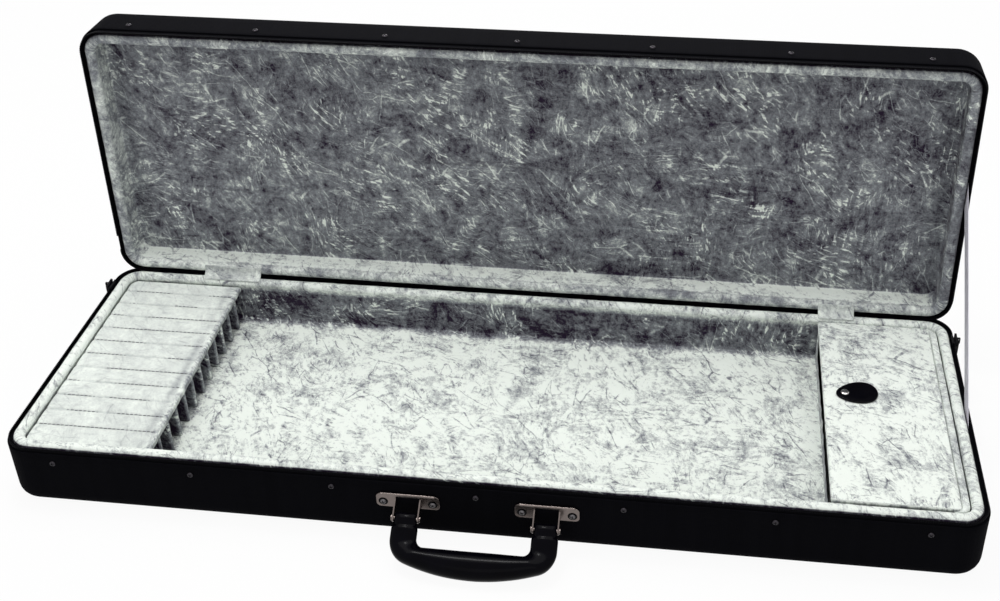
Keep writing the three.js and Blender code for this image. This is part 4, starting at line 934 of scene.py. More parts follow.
def make_slab(sizes):
    """Pad sewn down over each card, its end towards the floor rounded over and a little crumpled."""
    low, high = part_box("tip_slab")
    half, long = high.y, high.x - low.x
    corner = CORNER_RADIUS - (HALF_WIDTH - half)
    seams = seam_places()
    ys = {-half, half}
    for seam in seams:
        ys.update(seam + side * reach * MM for side in (-1, 1) for reach in SEAM_REACHES)
    ys.update(side * (half - reach * MM) for side in (-1, 1) for reach in SIDE_REACHES)
    ys = thinned([y for y in ys if -half <= y <= half], 0.25 * MM)
    step = (sizes.stitch_length + sizes.stitch_gap) / 2
    shares = list(np.linspace(0, 1, int(long / step) + 1))
    for reach in END_REACHES:
        shares += [reach * MM / long, 1 - reach * MM / long]
    shares = thinned(shares, 0.1 * MM / long)
    edge = 1.8 * MM
    top_points, lay, painted_lights, crushes = [], [], [], []
    for y in ys:
        past = max(0.0, abs(y) - (half - corner))
        left = low.x + corner - math.sqrt(max(0.0, corner ** 2 - past ** 2))
        near = min(abs(y - seam) for seam in seams)
        channel = sizes.channel_depth * math.exp(-(near / (1.3 * MM)) ** 2)
        bulge = 0.3 * MM * (1 - math.exp(-(near / (4 * MM)) ** 2))
        for share in shares:
            x = left + (high.x - left) * share
            stitch = 0.75 + 0.25 * math.cos((x - low.x) / step * math.pi)
            rim = min((high.x - x) / 1.7, x - left, half - abs(y))
            fall = edge - math.sqrt(max(0.0, edge ** 2 - max(0.0, edge - rim) ** 2))
            top_points.append((x, y, high.z - 0.3 * MM - channel * stitch + bulge - fall))
            lay.append((x, y, 0))
            # painted shade, in patches, where the pad bends down
            wander = 2 * MM * noise.noise(Vector((0, y * 60, 5)))
            patchy = 0.20 + 0.30 * noise.noise(Vector((x * 30, y * 34, 8)))
            strip = patchy * math.exp(-((x - high.x + 9 * MM + wander) / (3.6 * MM)) ** 2)
            # painted shade at the rolled end and in the sewn channels
            rolled = 0.22 * math.exp(-((x - high.x) / (3 * MM)) ** 2)
            seam_shade = 0.12 * channel / max(sizes.channel_depth, MM / 100)
            painted_lights.append(PAINTED_LIGHT_SLAB - max(0.0, strip) - rolled - seam_shade)
            crushes.append(CRUSH_SLAB + 0.9 * math.exp(-((x - high.x) / (4 * MM)) ** 2))
    points = top_points + [(x, y, low.z) for x, y, _ in top_points]
    piece = new_piece(
        "tip_block_pad", points, sheet_faces(len(ys), len(shares)), look_of("plush"),
        lay * 2, painted_lights * 2, crushes * 2)
    ruffle(piece, np.full(len(points), 0.25 * MM), 34 * MM, sizes.seed + 3)
    near_end = np.array([max(0.0, 1 - (high.x - vertex.co.x) / (7 * MM)) for vertex in piece.data.vertices])
    ruffle(piece, near_end * 0.7 * MM, 9 * MM, sizes.seed + 6)
    return settle(piece, "base", "plush", "tip_slab")


def make_stitches(sizes):
    """Rows of raised stitches in the channels of the tip block."""
    low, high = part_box("tip_slab")
    radius, sides = 0.33 * MM, 8
    half = sizes.stitch_length / 2
    step = sizes.stitch_length + sizes.stitch_gap
    # along a stitch: how far along, how thick and how high
    rounds = [(-1, 0.15, -0.9), (-0.9, 0.8, -0.3), (-0.6, 1, 0.1), (0, 1, 0.25)]
    rounds += [(-along, wide, up) for along, wide, up in reversed(rounds[:-1])]
    points, faces = [], []
    for seam in seam_places():
        for i in range(int((high.x - low.x - 4 * MM) / step)):
            x = low.x + 3 * MM + step * (i + 0.5)
            lean = 0.12 * MM * noise.noise(Vector((x * 300, seam * 300, 0)))
            sunk = 1.3 * MM * min(1, max(0, 4 * noise.noise(Vector((x * 26, seam * 90, 2))) + 0.1))
            z = high.z - 0.2 * MM - sizes.channel_depth * 0.8 - sunk
            faces += [tuple(v + len(points) for v in face) for face in skin_faces(len(rounds), sides)]
            points += [
                (x + half * along, seam + lean * (1 + along) + radius * wide * across,
                 z + radius * (up + wide * rise) + 0.1 * MM)
                for along, wide, up in rounds for across, rise in circle(sides)]
    piece = new_piece("tip_block_stitches", points, faces, look_of("thread"))
    return settle(piece, "base", "plush")


def make_cards(sizes):
    """Plush-covered cards between the slots, each a little out of true."""
    for number, node in enumerate(nodes_named("tip_divider_")):
        low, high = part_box(node)
        middle, half = (low.y + high.y) / 2, (high.y - low.y) / 2
        outline = [(low.x, half), (low.x, -half)]
        outline += line_points((low.x, -half), (high.x - half, -half), 18)
        outline += arc_points(high.x - half, 0, half, -90, 90, 12)[1:]
        outline += line_points((high.x - half, half), (low.x, half), 18)[:-1]
        points, lay, painted_lights = [], [], []
        heights = np.linspace(low.z, high.z, 9)
        for z in heights:
            for x, y in outline:
                points.append((x, middle + y, z))
                # each card and each of its faces is cut from another place of the cloth
                lay.append((0.11 * number + x + math.copysign(0.05, y), z + middle, 0))
                # painted shade on the card's faces between the slots, painted light towards its front end
                end_share = min(1, max(0, (x - high.x + 3 * MM) / (3 * MM)))
                painted_lights.append(PAINTED_LIGHT_CARD - 0.58 + 0.46 * end_share)
        piece = new_piece(
            "tip_card_%02d" % (number + 1), points, skin_faces(len(heights), len(outline)),
            look_of("plush"), lay, painted_lights, CRUSH_CARD)
        depths = np.array([0.32 * MM if x > low.x + MM else 0 for x, _, _ in points])
        ruffle(piece, -depths, 13 * MM, sizes.seed + number)
        settle(piece, "base", "plush_light", node)


# Frog block

def offset_outline(outline, amount):
    """Moves a closed outline in along its corner normals."""
    shape = np.array(outline)
    before, after = np.roll(shape, 1, 0), np.roll(shape, -1, 0)
    way = after - before
    out = np.stack([way[:, 1], -way[:, 0]], 1) / np.linalg.norm(way, axis=1)[:, None]
    area = np.sum(shape[:, 0] * after[:, 1] - after[:, 0] * shape[:, 1])
    return shape - out * amount * (1 if area > 0 else -1)


def rounded_ends(low, high, edge, ends, middles):
    """Stations through a block with rounded ends: place along, and how far the outline is moved in."""
    falls = [(edge * (1 - math.sin(t)), edge * (1 - math.cos(t))) for t in np.radians(ends)]
    stations = [(low + along, inset) for along, inset in falls]
    stations += [(low + (high - low) * share, 0) for share in middles]
    return stations + [(high - along, inset) for along, inset in reversed(falls)]


def make_rest():
    """Cross wall with a notch for the stick of each bow, its edges rounded by the plush."""
    low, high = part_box("frog_rest")
    seams = seam_places()
    pitch = seams[0] - seams[1]
    radius, depth, end_tooth, lip = 5 * MM, 22 * MM, 4 * MM, 1.2 * MM
    notches = [min(seams[0] + pitch / 2, high.y - end_tooth - radius)]
    notches += [seam - pitch / 2 for seam in seams]
    outline = [(high.y, low.z)] + line_points((high.y, low.z), (high.y, high.z), 6)
    for y in notches:
        deep, mouth = high.z - depth + radius, high.z - lip
        outline.append((y + radius + lip, high.z))
        outline += arc_points(y + radius + lip, mouth, lip, 90, 180, 3)[1:]
        outline += line_points((y + radius, mouth), (y + radius, deep), 4)
        outline += arc_points(y, deep, radius, 0, -180, 12)[1:]
        outline += line_points((y - radius, deep), (y - radius, mouth), 4)
        outline += arc_points(y - radius - lip, mouth, lip, 0, 90, 3)[1:]
    outline += [(-high.y, high.z)] + line_points((-high.y, high.z), (-high.y, low.z), 6)
    outline += line_points((-high.y, low.z), (high.y, low.z), 40)[:-1]
    edge = 1.6 * MM
    stations = rounded_ends(low.x, high.x, edge, (90, 65, 40, 18, 0), (0.3, 0.5, 0.7))
    points, lay, painted_lights = [], [], []
    for x, inset in stations:
        for y, z in offset_outline(outline, inset):
            points.append((x, y, z))
            lay.append((y + 1.3, z + x, 0))
            # painted light along the top edge, painted shade on the face towards the bows
            faces_bows = x < low.x + edge / 2
            painted_lights.append(PAINTED_LIGHT_CARD + (0.30 if z > high.z - 2.5 * MM else -0.08 * faces_bows))
    piece = new_piece(
        "frog_cross_wall", points, skin_faces(len(stations), len(outline)), look_of("plush"), lay, painted_lights, 0.9)
    return settle(piece, "base", "plush", "frog_rest")


def make_ledge():
    """Board under the frogs and the ledge that carries the flap, in one plush cover."""
    low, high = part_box("frog_ledge")
    half = high.y
    corner = CORNER_RADIUS - (HALF_WIDTH - half)
    ledge_wide, board = 5.9 * MM, 2.4 * MM
    edge = 0.7 * MM
    section = [(0.0, low.z), (0.0, low.z + board)]
    section += line_points((0.0, low.z + board), (1.0, low.z + board), 8)
    section += line_points((1.0, low.z + board), (1.0, high.z - edge), 6)
    ledge = [(1.15, high.z), (1.5, high.z), (1.85, high.z), (2.0, high.z - edge), (2.0, low.z)]
    section += ledge + line_points((2.0, low.z), (0.0, low.z), 6)[:-1]
    # a section's place across is 0 to 1 over the board and 1 to 2 over the ledge
    ys = [-half + reach * MM for reach in (0, 0.4, 1.2, 2.4, 4, 6, 8.2)]
    ys += list(np.linspace(-half + corner + 8 * MM, half - corner - 8 * MM, 30)) + [-y for y in reversed(ys)]
    points, lay, painted_lights = [], [], []
    for y in ys:
        past = max(0.0, abs(y) - (half - corner))
        right = high.x - corner + math.sqrt(max(0.0, corner ** 2 - past ** 2))
        inner = right - ledge_wide
        for across, z in section:
            x = low.x + (inner - low.x) * across if across <= 1 else inner + ledge_wide * (across - 1)
            points.append((x, y, z))
            lay.append((x + 0.6, y + z, 0))
            # painted shade on the board under the flap, painted light on the ledge
            painted_lights.append(0.55 if across < 1 else 0.8)
    piece = new_piece(
        "frog_floor_and_ledge", points, skin_faces(len(ys), len(section)), look_of("plush"), lay, painted_lights, 0.8)
    return settle(piece, "base", "plush", "frog_ledge")


def make_flap(sizes):
    """Padded flap over the frogs, softly crowned, its free edge a little wavy."""
    low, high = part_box("frog_flap")
    middle = (low + high) / 2
    half_x, half_y = (high.x - low.x) / 2, (high.y - low.y) / 2
    corner, edge = 3 * MM, 1.4 * MM
    flat_top = high.z - 0.8 * MM
    rows = [(edge * (1 - math.sin(t)), low.z + edge * (1 - math.cos(t))) for t in np.radians((0, 30, 60, 90))]
    falls = np.radians((90, 66, 44, 22, 0))
    rows += [(edge * (1 - math.sin(t)), flat_top - edge * (1 - math.cos(t))) for t in falls]
    for share in np.linspace(0, 1, 9)[1:]:
        inset = edge + (half_x - 4 * MM - edge) * share
        rows.append((inset, flat_top + 0.8 * MM * min(1, inset / (14 * MM)) ** 0.6))
    points, lay, painted_lights = [], [], []
    for i, (inset, z) in enumerate(rows):
        radius = max(corner - inset, 0.8 * MM)
        ring, _ = round_rectangle(half_x - inset, half_y - inset, radius, 22, 50, 6)
        for x, y in ring:
            points.append((middle.x + x, middle.y + y, z))
            side = 1 if i > 6 else -1
            lay.append((middle.x + x + 0.2, (middle.y + y) * side, 0))
            # painted light on the flap's top, painted shade round its sides
            painted_lights.append(PAINTED_LIGHT_FLAP_TOP if i > 4 else PAINTED_LIGHT_FLAP_SIDE)
    piece = new_piece(
        "frog_flap_pad", points, skin_faces(len(rows), len(ring)), look_of("plush"), lay, painted_lights, CRUSH_FLAP)
    ruffle(piece, np.full(len(points), 0.25 * MM), 30 * MM, sizes.seed + 8)
    return settle(piece, "flap", "plush", "frog_flap")


# Pull tab

def tab_outline(steps):
    """Egg shape about the rivet, wider towards the free end."""
    length, half_width, bias = 36.8 * MM, 13.2 * MM, 0.22
    middle = length / 2 - 7.5 * MM
    turns = np.linspace(0, math.tau, steps + 1)[:-1]
    return [
        (middle + length / 2 * math.cos(t), half_width * math.sin(t) * (1 + bias * math.cos(t))) for t in turns]


def make_tab():
    """Leather tab, domed a little, with a groove inside its rounded edge."""
    low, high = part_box("pull_tab")
    rivet_low, rivet_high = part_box("tab_rivet")
    centre = (rivet_low + rivet_high) / 2
    turn = math.radians(10)
    outline = np.array(tab_outline(72))
    middle = np.array([8 * MM, 0])
    edge = 0.7 * MM
    rows = [(edge, low.z), (0.3 * MM, low.z + 0.2 * MM), (0, low.z + edge), (0, high.z - edge - 0.2 * MM)]
    # the rounded upper edge and the groove inside it, as millimetres in from the edge and below the top
    for inset, below in ((0.12, 0.55), (0.4, 0.3), (0.9, 0.2), (1.6, 0.32), (2.1, 0.32), (2.8, 0.12)):
        rows.append((inset * MM, high.z - below * MM))
    rings = [(offset_outline(outline, inset), z) for inset, z in rows]
    last = rings[-1][0]
    for share in (0.7, 0.35, 0.08):
        rings.append((middle + (last - middle) * share, high.z - 0.12 * MM + 0.1 * MM * (1 - share)))
    cos, sin = math.cos(turn), math.sin(turn)
    points = [
        (centre.x + x * cos - y * sin, centre.y + x * sin + y * cos, z) for ring, z in rings for x, y in ring]
    tab = new_piece("tab_leather", points, skin_faces(len(rings), len(outline)), look_of("tab"))
    settle(tab, "tab", "tab_leather", "pull_tab")
    head = 3.6 * MM
    seat = high.z + 0.3 * MM
    rise = rivet_high.z - seat
    profile = [(0.5 * MM, rivet_low.z), (2 * MM, rivet_low.z), (2 * MM, seat), (head - 0.2 * MM, seat)]
    profile += [(head, seat + 0.15 * MM)] + arc_points(0, seat + 0.1 * MM, head, 12, 84, 7, rise - 0.1 * MM)
    points = [(centre.x + r * cos, centre.y + r * sin, z) for r, z in profile for cos, sin in circle(32)]
    rivet = new_piece("tab_rivet_head", points, skin_faces(len(profile), 32), look_of("rivet"))
    return settle(sharpen(rivet, 50), "flap", "nickel", "tab_rivet")


# Handle, brackets and screws

PIN_POINT = next(Vector(joint["pos_m"]) for joint in frame["joints"] if joint["name"] == "handle_hinge")
HANDLE_LEAN = math.radians(37.5 - 90)
ARM_X = 57.7 * MM
ARM_HALF = 11 * MM
GRIP_WIDTH = 22.8 * MM
HANDLE_REACH = 44.4 * MM
SAG_RADIUS = 175 * MM
OUTER_CORNER = 20 * MM
INNER_CORNER = 6 * MM


def handle_stations():
    """Inner and outer point of the handle's outline, and half its thickness, from one pin to the middle."""
    eye_half = 9.5 * MM
    inner_x, outer_x = ARM_X - ARM_HALF, ARM_X + ARM_HALF
    inner_z = GRIP_WIDTH - HANDLE_REACH
    inner_corner = (inner_x - INNER_CORNER, inner_z + INNER_CORNER)
    sag_z, sag_x = SAG_RADIUS - HANDLE_REACH, outer_x - OUTER_CORNER
    between = SAG_RADIUS - OUTER_CORNER
    outer_corner = (sag_x, sag_z - math.sqrt(between ** 2 - sag_x ** 2))
    sag_degrees = math.degrees(math.asin(sag_x / between))
    root, arm, grip = 4.3 * MM, 5.5 * MM, 10.5 * MM
    stations = []
    eye = (4.4, eye_half, 2.2), (3.2, eye_half, 3.6), (0, eye_half, 4.3), (-4.4, eye_half, 4.3)
    for z, half, thick in eye:
        stations.append((ARM_X - half, z * MM, ARM_X + half, z * MM, thick * MM))
    stations.append((ARM_X - eye_half, -5.6 * MM, ARM_X + eye_half, -5.6 * MM, root + 0.1 * MM))
    for z, widen in ((-6.4, 0.6), (-7.4, 0.85), (-9, 1), (-12, 1), (-14.5, 1)):
        half = eye_half + (ARM_HALF - eye_half) * widen
        stations.append((ARM_X - half, z * MM, ARM_X + half, z * MM, root + (arm - root) * widen))
    steps = 12
    inside = arc_points(*inner_corner, INNER_CORNER, 0, -90, steps)
    outside = arc_points(*outer_corner, OUTER_CORNER, 0, sag_degrees - 90, steps)
    for i in range(steps + 1):
        share = 0.5 - 0.5 * math.cos(i / steps * math.pi)
        stations.append((*inside[i], *outside[i], arm + (grip - arm) * share))
    outside = arc_points(0, sag_z, SAG_RADIUS, sag_degrees - 90, -90, 10)[1:]
    for i, (x, z) in enumerate(outside):
        stations.append((inner_corner[0] * (1 - (i + 1) / 10), inner_z, x, z, grip))
    return stations


def make_handle(sizes):
    """Arms and grip in one, with a rounded section at each station of its outline."""
    stations = handle_stations()
    stations += [(-a, az, -b, bz, thick) for a, az, b, bz, thick in reversed(stations[:-1])]
    sides, power = 48, 2 / 2.1
    points = []
    cos_lean, sin_lean = math.cos(HANDLE_LEAN), math.sin(HANDLE_LEAN)
    for a, az, b, bz, thick in stations:
        for cos, sin in circle(sides):
            across = (1 + math.copysign(abs(cos) ** power, cos)) / 2
            out = thick * math.copysign(abs(sin) ** power, sin)
            x, y, z = a + (b - a) * across, out, az + (bz - az) * across
            points.append((
                PIN_POINT.x + x, PIN_POINT.y + y * cos_lean - z * sin_lean,
                PIN_POINT.z + y * sin_lean + z * cos_lean))
    piece = new_piece("moulded_handle", points, skin_faces(len(stations), sides), look_of("handle"))
    ruffle(piece, np.full(len(points), 0.18 * MM), 24 * MM, sizes.seed + 5)
    return settle(piece, "handle", "handle_plastic", "handle")


def skinned(build, points, rows):
    """Adds rows of points, each a closed ring, and the skin over them to a mesh under construction."""
    corners = [build.verts.new(point) for point in points]
    for face in skin_faces(rows, len(points) // rows):
        build.faces.new([corners[i] for i in face])
    bmesh.ops.recalc_face_normals(build, faces=build.faces)


def extruded(build, outline, start, end, axis):
    """Adds a flat outline pushed along an axis to a mesh under construction."""
    def point(a, b, along):
        return {"x": (along, a, b), "y": (a, along, b)}[axis]

    near = [build.verts.new(point(a, b, start)) for a, b in outline]
    far = [build.verts.new(point(a, b, end)) for a, b in outline]
    build.faces.new(near)
    build.faces.new(list(reversed(far)))
    for i in range(len(outline)):
        k = (i + 1) % len(outline)
        build.faces.new((near[i], far[i], far[k], near[k]))
    bmesh.ops.recalc_face_normals(build, faces=build.faces)


def carved(name, build, cutter, look, recess_shade_look):
    """Mesh of one build with another cut away, the cut faces in a look of their own, a black that paints shade
    into the recess.
    """
    pieces = []
    for label, part, finish in ((name, build, look), (name + "_cut", cutter, recess_shade_look)):
        mesh = bpy.data.meshes.new(label)
        part.to_mesh(mesh)
        part.free()
        mesh.materials.append(finish)
        pieces.append(put(label, mesh))
    body, tool = pieces
    cut = body.modifiers.new("cut", "BOOLEAN")
    cut.operation, cut.object, cut.solver, cut.material_mode = "DIFFERENCE", tool, "EXACT", "TRANSFER"
    cut.use_self = True
    bpy.context.view_layer.update()
    done = body.evaluated_get(bpy.context.evaluated_depsgraph_get())
    mesh = bpy.data.meshes.new_from_object(done)
    for spare in (body, tool):
        bpy.data.objects.remove(spare)
    mesh.name = name
    mesh.polygons.foreach_set("use_smooth", [True] * len(mesh.polygons))
    return mesh


def make_bracket(side):
    """Stamped plate with a rolled top edge, its middle bent out into two ears for the pin."""
    low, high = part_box("handle_bracket_" + side)
    pin_low, pin_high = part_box("handle_pin_" + side)
    middle = (low.x + high.x) / 2
    pin = (pin_low + pin_high) / 2
    thick, roll, corner, bridge = 1.2 * MM, 1.1 * MM, 3.8 * MM, 2.4 * MM
    face = high.y
    top = high.z - roll
    bottom = top - 14 * MM
    half = (high.x - low.x) / 2
    ear, ear_thick, lug = 10.4 * MM, 1.2 * MM, 3.2 * MM
    window = ear - ear_thick / 2
    outline = arc_points(half - corner, top - corner, corner, 0, 90, 8)
    outline += arc_points(corner - half, top - corner, corner, 90, 180, 8)
    outline += arc_points(corner - half, bottom + corner, corner, 180, 270, 8)
    outline += [(-window, bottom), (-window, top - bridge), (window, top - bridge), (window, bottom)]
    outline += arc_points(half - corner, bottom + corner, corner, 270, 360, 8)
    build = bmesh.new()
    extruded(build, [(middle + a, b) for a, b in outline], face - thick, face, "y")
    for way in (-1, 1):
        x = middle + way * ear
        strip = [(face - thick / 2, top - 3.8 * MM), (face - thick / 2, bottom + 1 * MM)]
        strip += arc_points(pin.y, pin.z, lug, 315, 135, 16)
        extruded(build, strip, x - ear_thick / 2, x + ear_thick / 2, "x")
    sharp = [edge for edge in build.edges if edge.calc_face_angle(0) > math.radians(50)]
    bmesh.ops.bevel(build, geom=sharp, offset=0.22 * MM, segments=2, affect="EDGES", profile=0.5)
    reach = half - 3.4 * MM
    ends = ((-1, 0.5), (-0.985, 0.9), (-0.97, 1), (0.97, 1), (0.985, 0.9), (1, 0.5))
    skinned(build, [
        (middle + reach * along, face - roll + roll * wide * cos, top + roll * wide * sin)
        for along, wide in ends for cos, sin in circle(28)], len(ends))
    # black cups round the screws paint shade into the plate's dimples
    dimple_shade_cups = bmesh.new()
    for node in nodes_named("bracket_screw"):
        screw_low, screw_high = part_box(node)
        centre = (screw_low + screw_high) / 2
        if abs(centre.x - middle) < half:
            cup = (4.0, face - thick - 1 * MM), (4.0, face - thick), (2.8, face - 0.3 * MM)
            skinned(dimple_shade_cups, [
                (centre.x + wide * MM * cos, y, centre.z + wide * MM * sin)
                for wide, y in cup for cos, sin in circle(32)], len(cup))
    mesh = carved("bracket_plate_" + side, build, dimple_shade_cups, look_of("nickel"), look_of("enamel"))
    piece = sharpen(put("bracket_plate_" + side, mesh), 17)
    return settle(piece, "base", "nickel", "handle_bracket_" + side)


def screw_mesh():
    """Round head with a cross recess, seat at the origin and head towards -Y."""
    head, rise, shank, shank_length = 2.6 * MM, 1.5 * MM, 1 * MM, 4.6 * MM
    profile = [(0.2 * MM, shank_length), (shank, shank_length - 0.8 * MM), (shank, 0), (head - 0.1 * MM, 0)]
    profile += [(head, -0.12 * MM)]
    profile += [(head * math.cos(t), -rise * math.sin(t)) for t in np.radians((14, 26, 38, 50, 62, 74, 86))]
    body = bmesh.new()
    skinned(body, [(r * cos, y, r * sin) for r, y in profile for cos, sin in circle(28)], len(profile))
    arm, half = 1.6 * MM, 0.34 * MM
    outline = [(half, half), (half, arm), (-half, arm), (-half, half), (-arm, half), (-arm, -half)]
    outline += [(-x, -z) for x, z in outline]
    cross = bmesh.new()
    extruded(cross, outline, -2 * rise, -rise + 0.9 * MM, "y")
    # the cross recess is lined in black, painted shade
    return carved("round_screw", body, cross, look_of("steel"), look_of("enamel"))


SCREW_SEAT = 1.5 * MM
SCREW_LENGTH = 6.1 * MM


def make_screws():
    """One pattern of screw at each place, every one turned by another angle."""
    pattern = screw_mesh()
    for number, node in enumerate(nodes_named("base_cover_screw", "lid_cover_screw", "bracket_screw")):
        low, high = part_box(node)
        middle = (low + high) / 2
        piece = put(node.replace("screw", "screw_head"), pattern.copy())
        turn = Matrix.Rotation(math.radians(37 * number), 4, "Y")
        on_lid = node.startswith("lid")
        if on_lid:
            lean = opened_lid().to_3x3()
            seat = middle + lean @ Vector((0, -1, 0)) * (SCREW_LENGTH / 2 - SCREW_SEAT)
            piece.matrix_world = Matrix.Translation(seat) @ lean.to_4x4() @ turn
        else:
            piece.matrix_world = Matrix.Translation((middle.x, low.y + SCREW_SEAT, middle.z)) @ turn
        # the screws in the covers take the darker steel, painted shade of their dimples in the cloth
        if not node.startswith("bracket"):
            piece.data.materials[0] = look_of("dimple shade steel")
        sharpen(piece, 35)
        settle(piece, "lid" if on_lid else "base", "zinc_steel", node)


# Hinge patches, spine and stay

def ribbon_strip(name, path, x_from, x_to, columns, thick, look, painted_light=None, crush=None):
    """Strip of cloth along a path of y and z points, with a thickness to the path's right."""
    path = np.array(path)
    way = np.gradient(path, axis=0)
    right = np.stack([way[:, 1], -way[:, 0]], 1) / np.linalg.norm(way, axis=1)[:, None]
    loop = np.concatenate([path, (path + right * thick)[::-1]])
    lengths = run_lengths(loop)
    xs = np.linspace(x_from, x_to, columns)
    points = [(x, y, z) for x in xs for y, z in loop]
    lay = [(x, length, 0) for x in xs for length in lengths]
    return new_piece(name, points, skin_faces(columns, len(loop)), look, lay, painted_light, crush)


def opened_point(y, z):
    """Point of the closed lid, given from the hinge axis, at the open lid's place, as y and z."""
    cos, sin = math.cos(LID_TURN), math.sin(LID_TURN)
    return HINGE_POINT.y + y * cos - z * sin, HINGE_POINT.z + y * sin + z * cos


def make_patch(side, sizes):
    """Plush patch over a hinge, from the base's roll up on to the lid's, where its ends lie flat."""
    low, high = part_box("hinge_flap_" + side)
    fillet, gap, reach = 8 * MM, ROLL_GAP, 9.2 * MM
    middle = (HINGE_POINT.y - fillet, BASE_HEIGHT + fillet)
    path = [(HINGE_POINT.y - reach, BASE_HEIGHT - gap)]
    path += arc_points(*middle, fillet + gap, 270, 266 - math.degrees(LID_TURN), 18)
    path += [opened_point(-reach, gap)]
    # the patch takes one level of painted light
    piece = ribbon_strip(
        "hinge_patch_" + side, path, low.x + 0.2 * MM, high.x - 0.2 * MM, 24, 0.5 * MM,
        look_of("plush"), PAINTED_LIGHT_PATCH, CRUSH_PATCH)
    ruffle(piece, np.full(len(piece.data.vertices), 0.1 * MM), 9 * MM, sizes.seed + 2)
    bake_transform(piece)
    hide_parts("hinge_flap_" + side)
    return piece


def make_spine():
    """Black tape outside the hinge line, glued to the base's back and under the lid's."""
    low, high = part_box("spine_cover")
    near, bend, lid_leg = HALF_WIDTH - HINGE_POINT.y + SEAT_GAP, 2 * MM, LEDGE_DROP + 17 * MM
    back = HINGE_POINT.y + near
    bend_z = opened_point(near, near)[1] - bend
    path = [(back, low.z)] + line_points((back, low.z), (back, bend_z), 8)
    path += arc_points(back + bend, bend_z, bend, 180, 92, 5)[1:]
    path += line_points(path[-1], opened_point(near, lid_leg), 8)
    piece = ribbon_strip("spine_tape", path, low.x, high.x, 60, 0.8 * MM, look_of("spine"))
    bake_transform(piece)
    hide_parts("spine_cover")
    return piece


def make_stay():
    """Ribbon that stops the lid, from the base's ledge to the lid's, drawn taut."""
    low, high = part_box("lid_stay")
    foot_reach, top_reach, wide, bow = 133.7 * MM, 135 * MM, 16 * MM, 0.12 * MM
    foot = np.array([HINGE_POINT.y - foot_reach, BASE_HEIGHT - LEDGE_DROP + SEAT_GAP])
    top = np.array(opened_point(-top_reach, LEDGE_DROP - SEAT_GAP))
    root = np.array(opened_point(0, LEDGE_DROP - SEAT_GAP))
    along = top - foot
    long = np.linalg.norm(along)
    up = (top - root) / np.linalg.norm(top - root)
    # half its width along the ledge at the foot and along the lid's rim at the top, where its ends lie
    foot_step = np.array([1.0, 0.0]) * wide / 2 * long / along[1]
    top_step = -up * wide / 2 * long / abs(along[0] * up[1] - along[1] * up[0])
    rows, columns = 60, 9
    points, lay = [], []
    thick = high.x - low.x
    for layer in (0, 1):
        for share in np.linspace(0, 1, rows):
            middle, step = foot + along * share, foot_step + (top_step - foot_step) * share
            for across in np.linspace(-1, 1, columns):
                x = low.x + bow * math.sin(share * math.pi) + (thick - bow) * layer
                points.append((x, *(middle + step * across)))
                lay.append((across * wide / 2, share * long, 0))
    faces = sheet_faces(rows, columns)
    piece = new_piece("stay_ribbon", points, faces, look_of("ribbon"), lay)
    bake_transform(piece)
    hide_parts("lid_stay")
    return piece


# Stage

# How much of the floor's white is its own; its shadow takes the rest
FLOOR_WHITE = 0.94


def white_where_seen(net, shader, white, output, share=None):
    """Shows plain white over a shader to the rays that see it straight, in a mirror or through glass."""
    seen = net.add("ShaderNodeLightPath").outputs
    rays = net.math("MAXIMUM", seen["Is Camera Ray"], seen["Is Glossy Ray"])
    rays = net.math("MAXIMUM", rays, seen["Is Transmission Ray"])
    both = net.add("ShaderNodeMixShader", {0: net.math("MULTIPLY", rays, share) if share else rays})
    net.set(both.inputs[1], shader)
    net.set(both.inputs[2], net.add(white, {"Color": (1, 1, 1, 1), "Strength": 1.0}).outputs[0])
    net.set(net.tree.nodes[output].inputs["Surface"], both.outputs[0])


def make_floor():
    half = 4.0
    look, net, shader = surface("Pale floor", {"Roughness": 0.9, "Specular IOR Level": 0.0})
    speckle = net.noise(place_of(net), 40, 3)[0]
    net.set(shader.inputs["Base Color"], net.mix(speckle, (0.86, 0.86, 0.86, 1), (0.90, 0.90, 0.90, 1)))
    white_where_seen(net, shader.outputs[0], "ShaderNodeEmission", "Material Output", FLOOR_WHITE)
    mesh = bpy.data.meshes.new("stage_floor")
    corners = [(-half, -half, 0), (half, -half, 0), (half, half, 0), (-half, half, 0)]
    mesh.from_pydata(corners, [], [(0, 1, 2, 3)])
    mesh.materials.append(look)
    floor = put("stage_floor", mesh)


def make_world(ambient):
    world = bpy.data.worlds.new("studio")
    world.use_nodes = True
    bpy.context.scene.world = world
    even = world.node_tree.nodes["Background"]
    even.inputs["Color"].default_value = (1.0, 1.0, 1.0, 1.0)
    even.inputs["Strength"].default_value = ambient
    white_where_seen(Net(world.node_tree), even.outputs[0], "ShaderNodeBackground", "World Output")


def make_lamp(name, place, aim, wide, deep, power):
    lamp = bpy.data.lights.new(name, "AREA")
    lamp.shape, lamp.size, lamp.size_y, lamp.energy = "RECTANGLE", wide, deep, power
    holder = put(name, lamp)
    holder.location = place
    holder.rotation_euler = (Vector(aim) - Vector(place)).to_track_quat("-Z", "Y").to_euler()


# The photograph's frame and where the camera's axis meets it, in pixels
PHOTO_WIDTH = 1000
PHOTO_HEIGHT = 601
AXIS_PIXEL = (564.595, 162.772)
FOCAL_PIXELS = 1301.426
AIM = Vector((59.553 * MM, 0, 292.157 * MM))


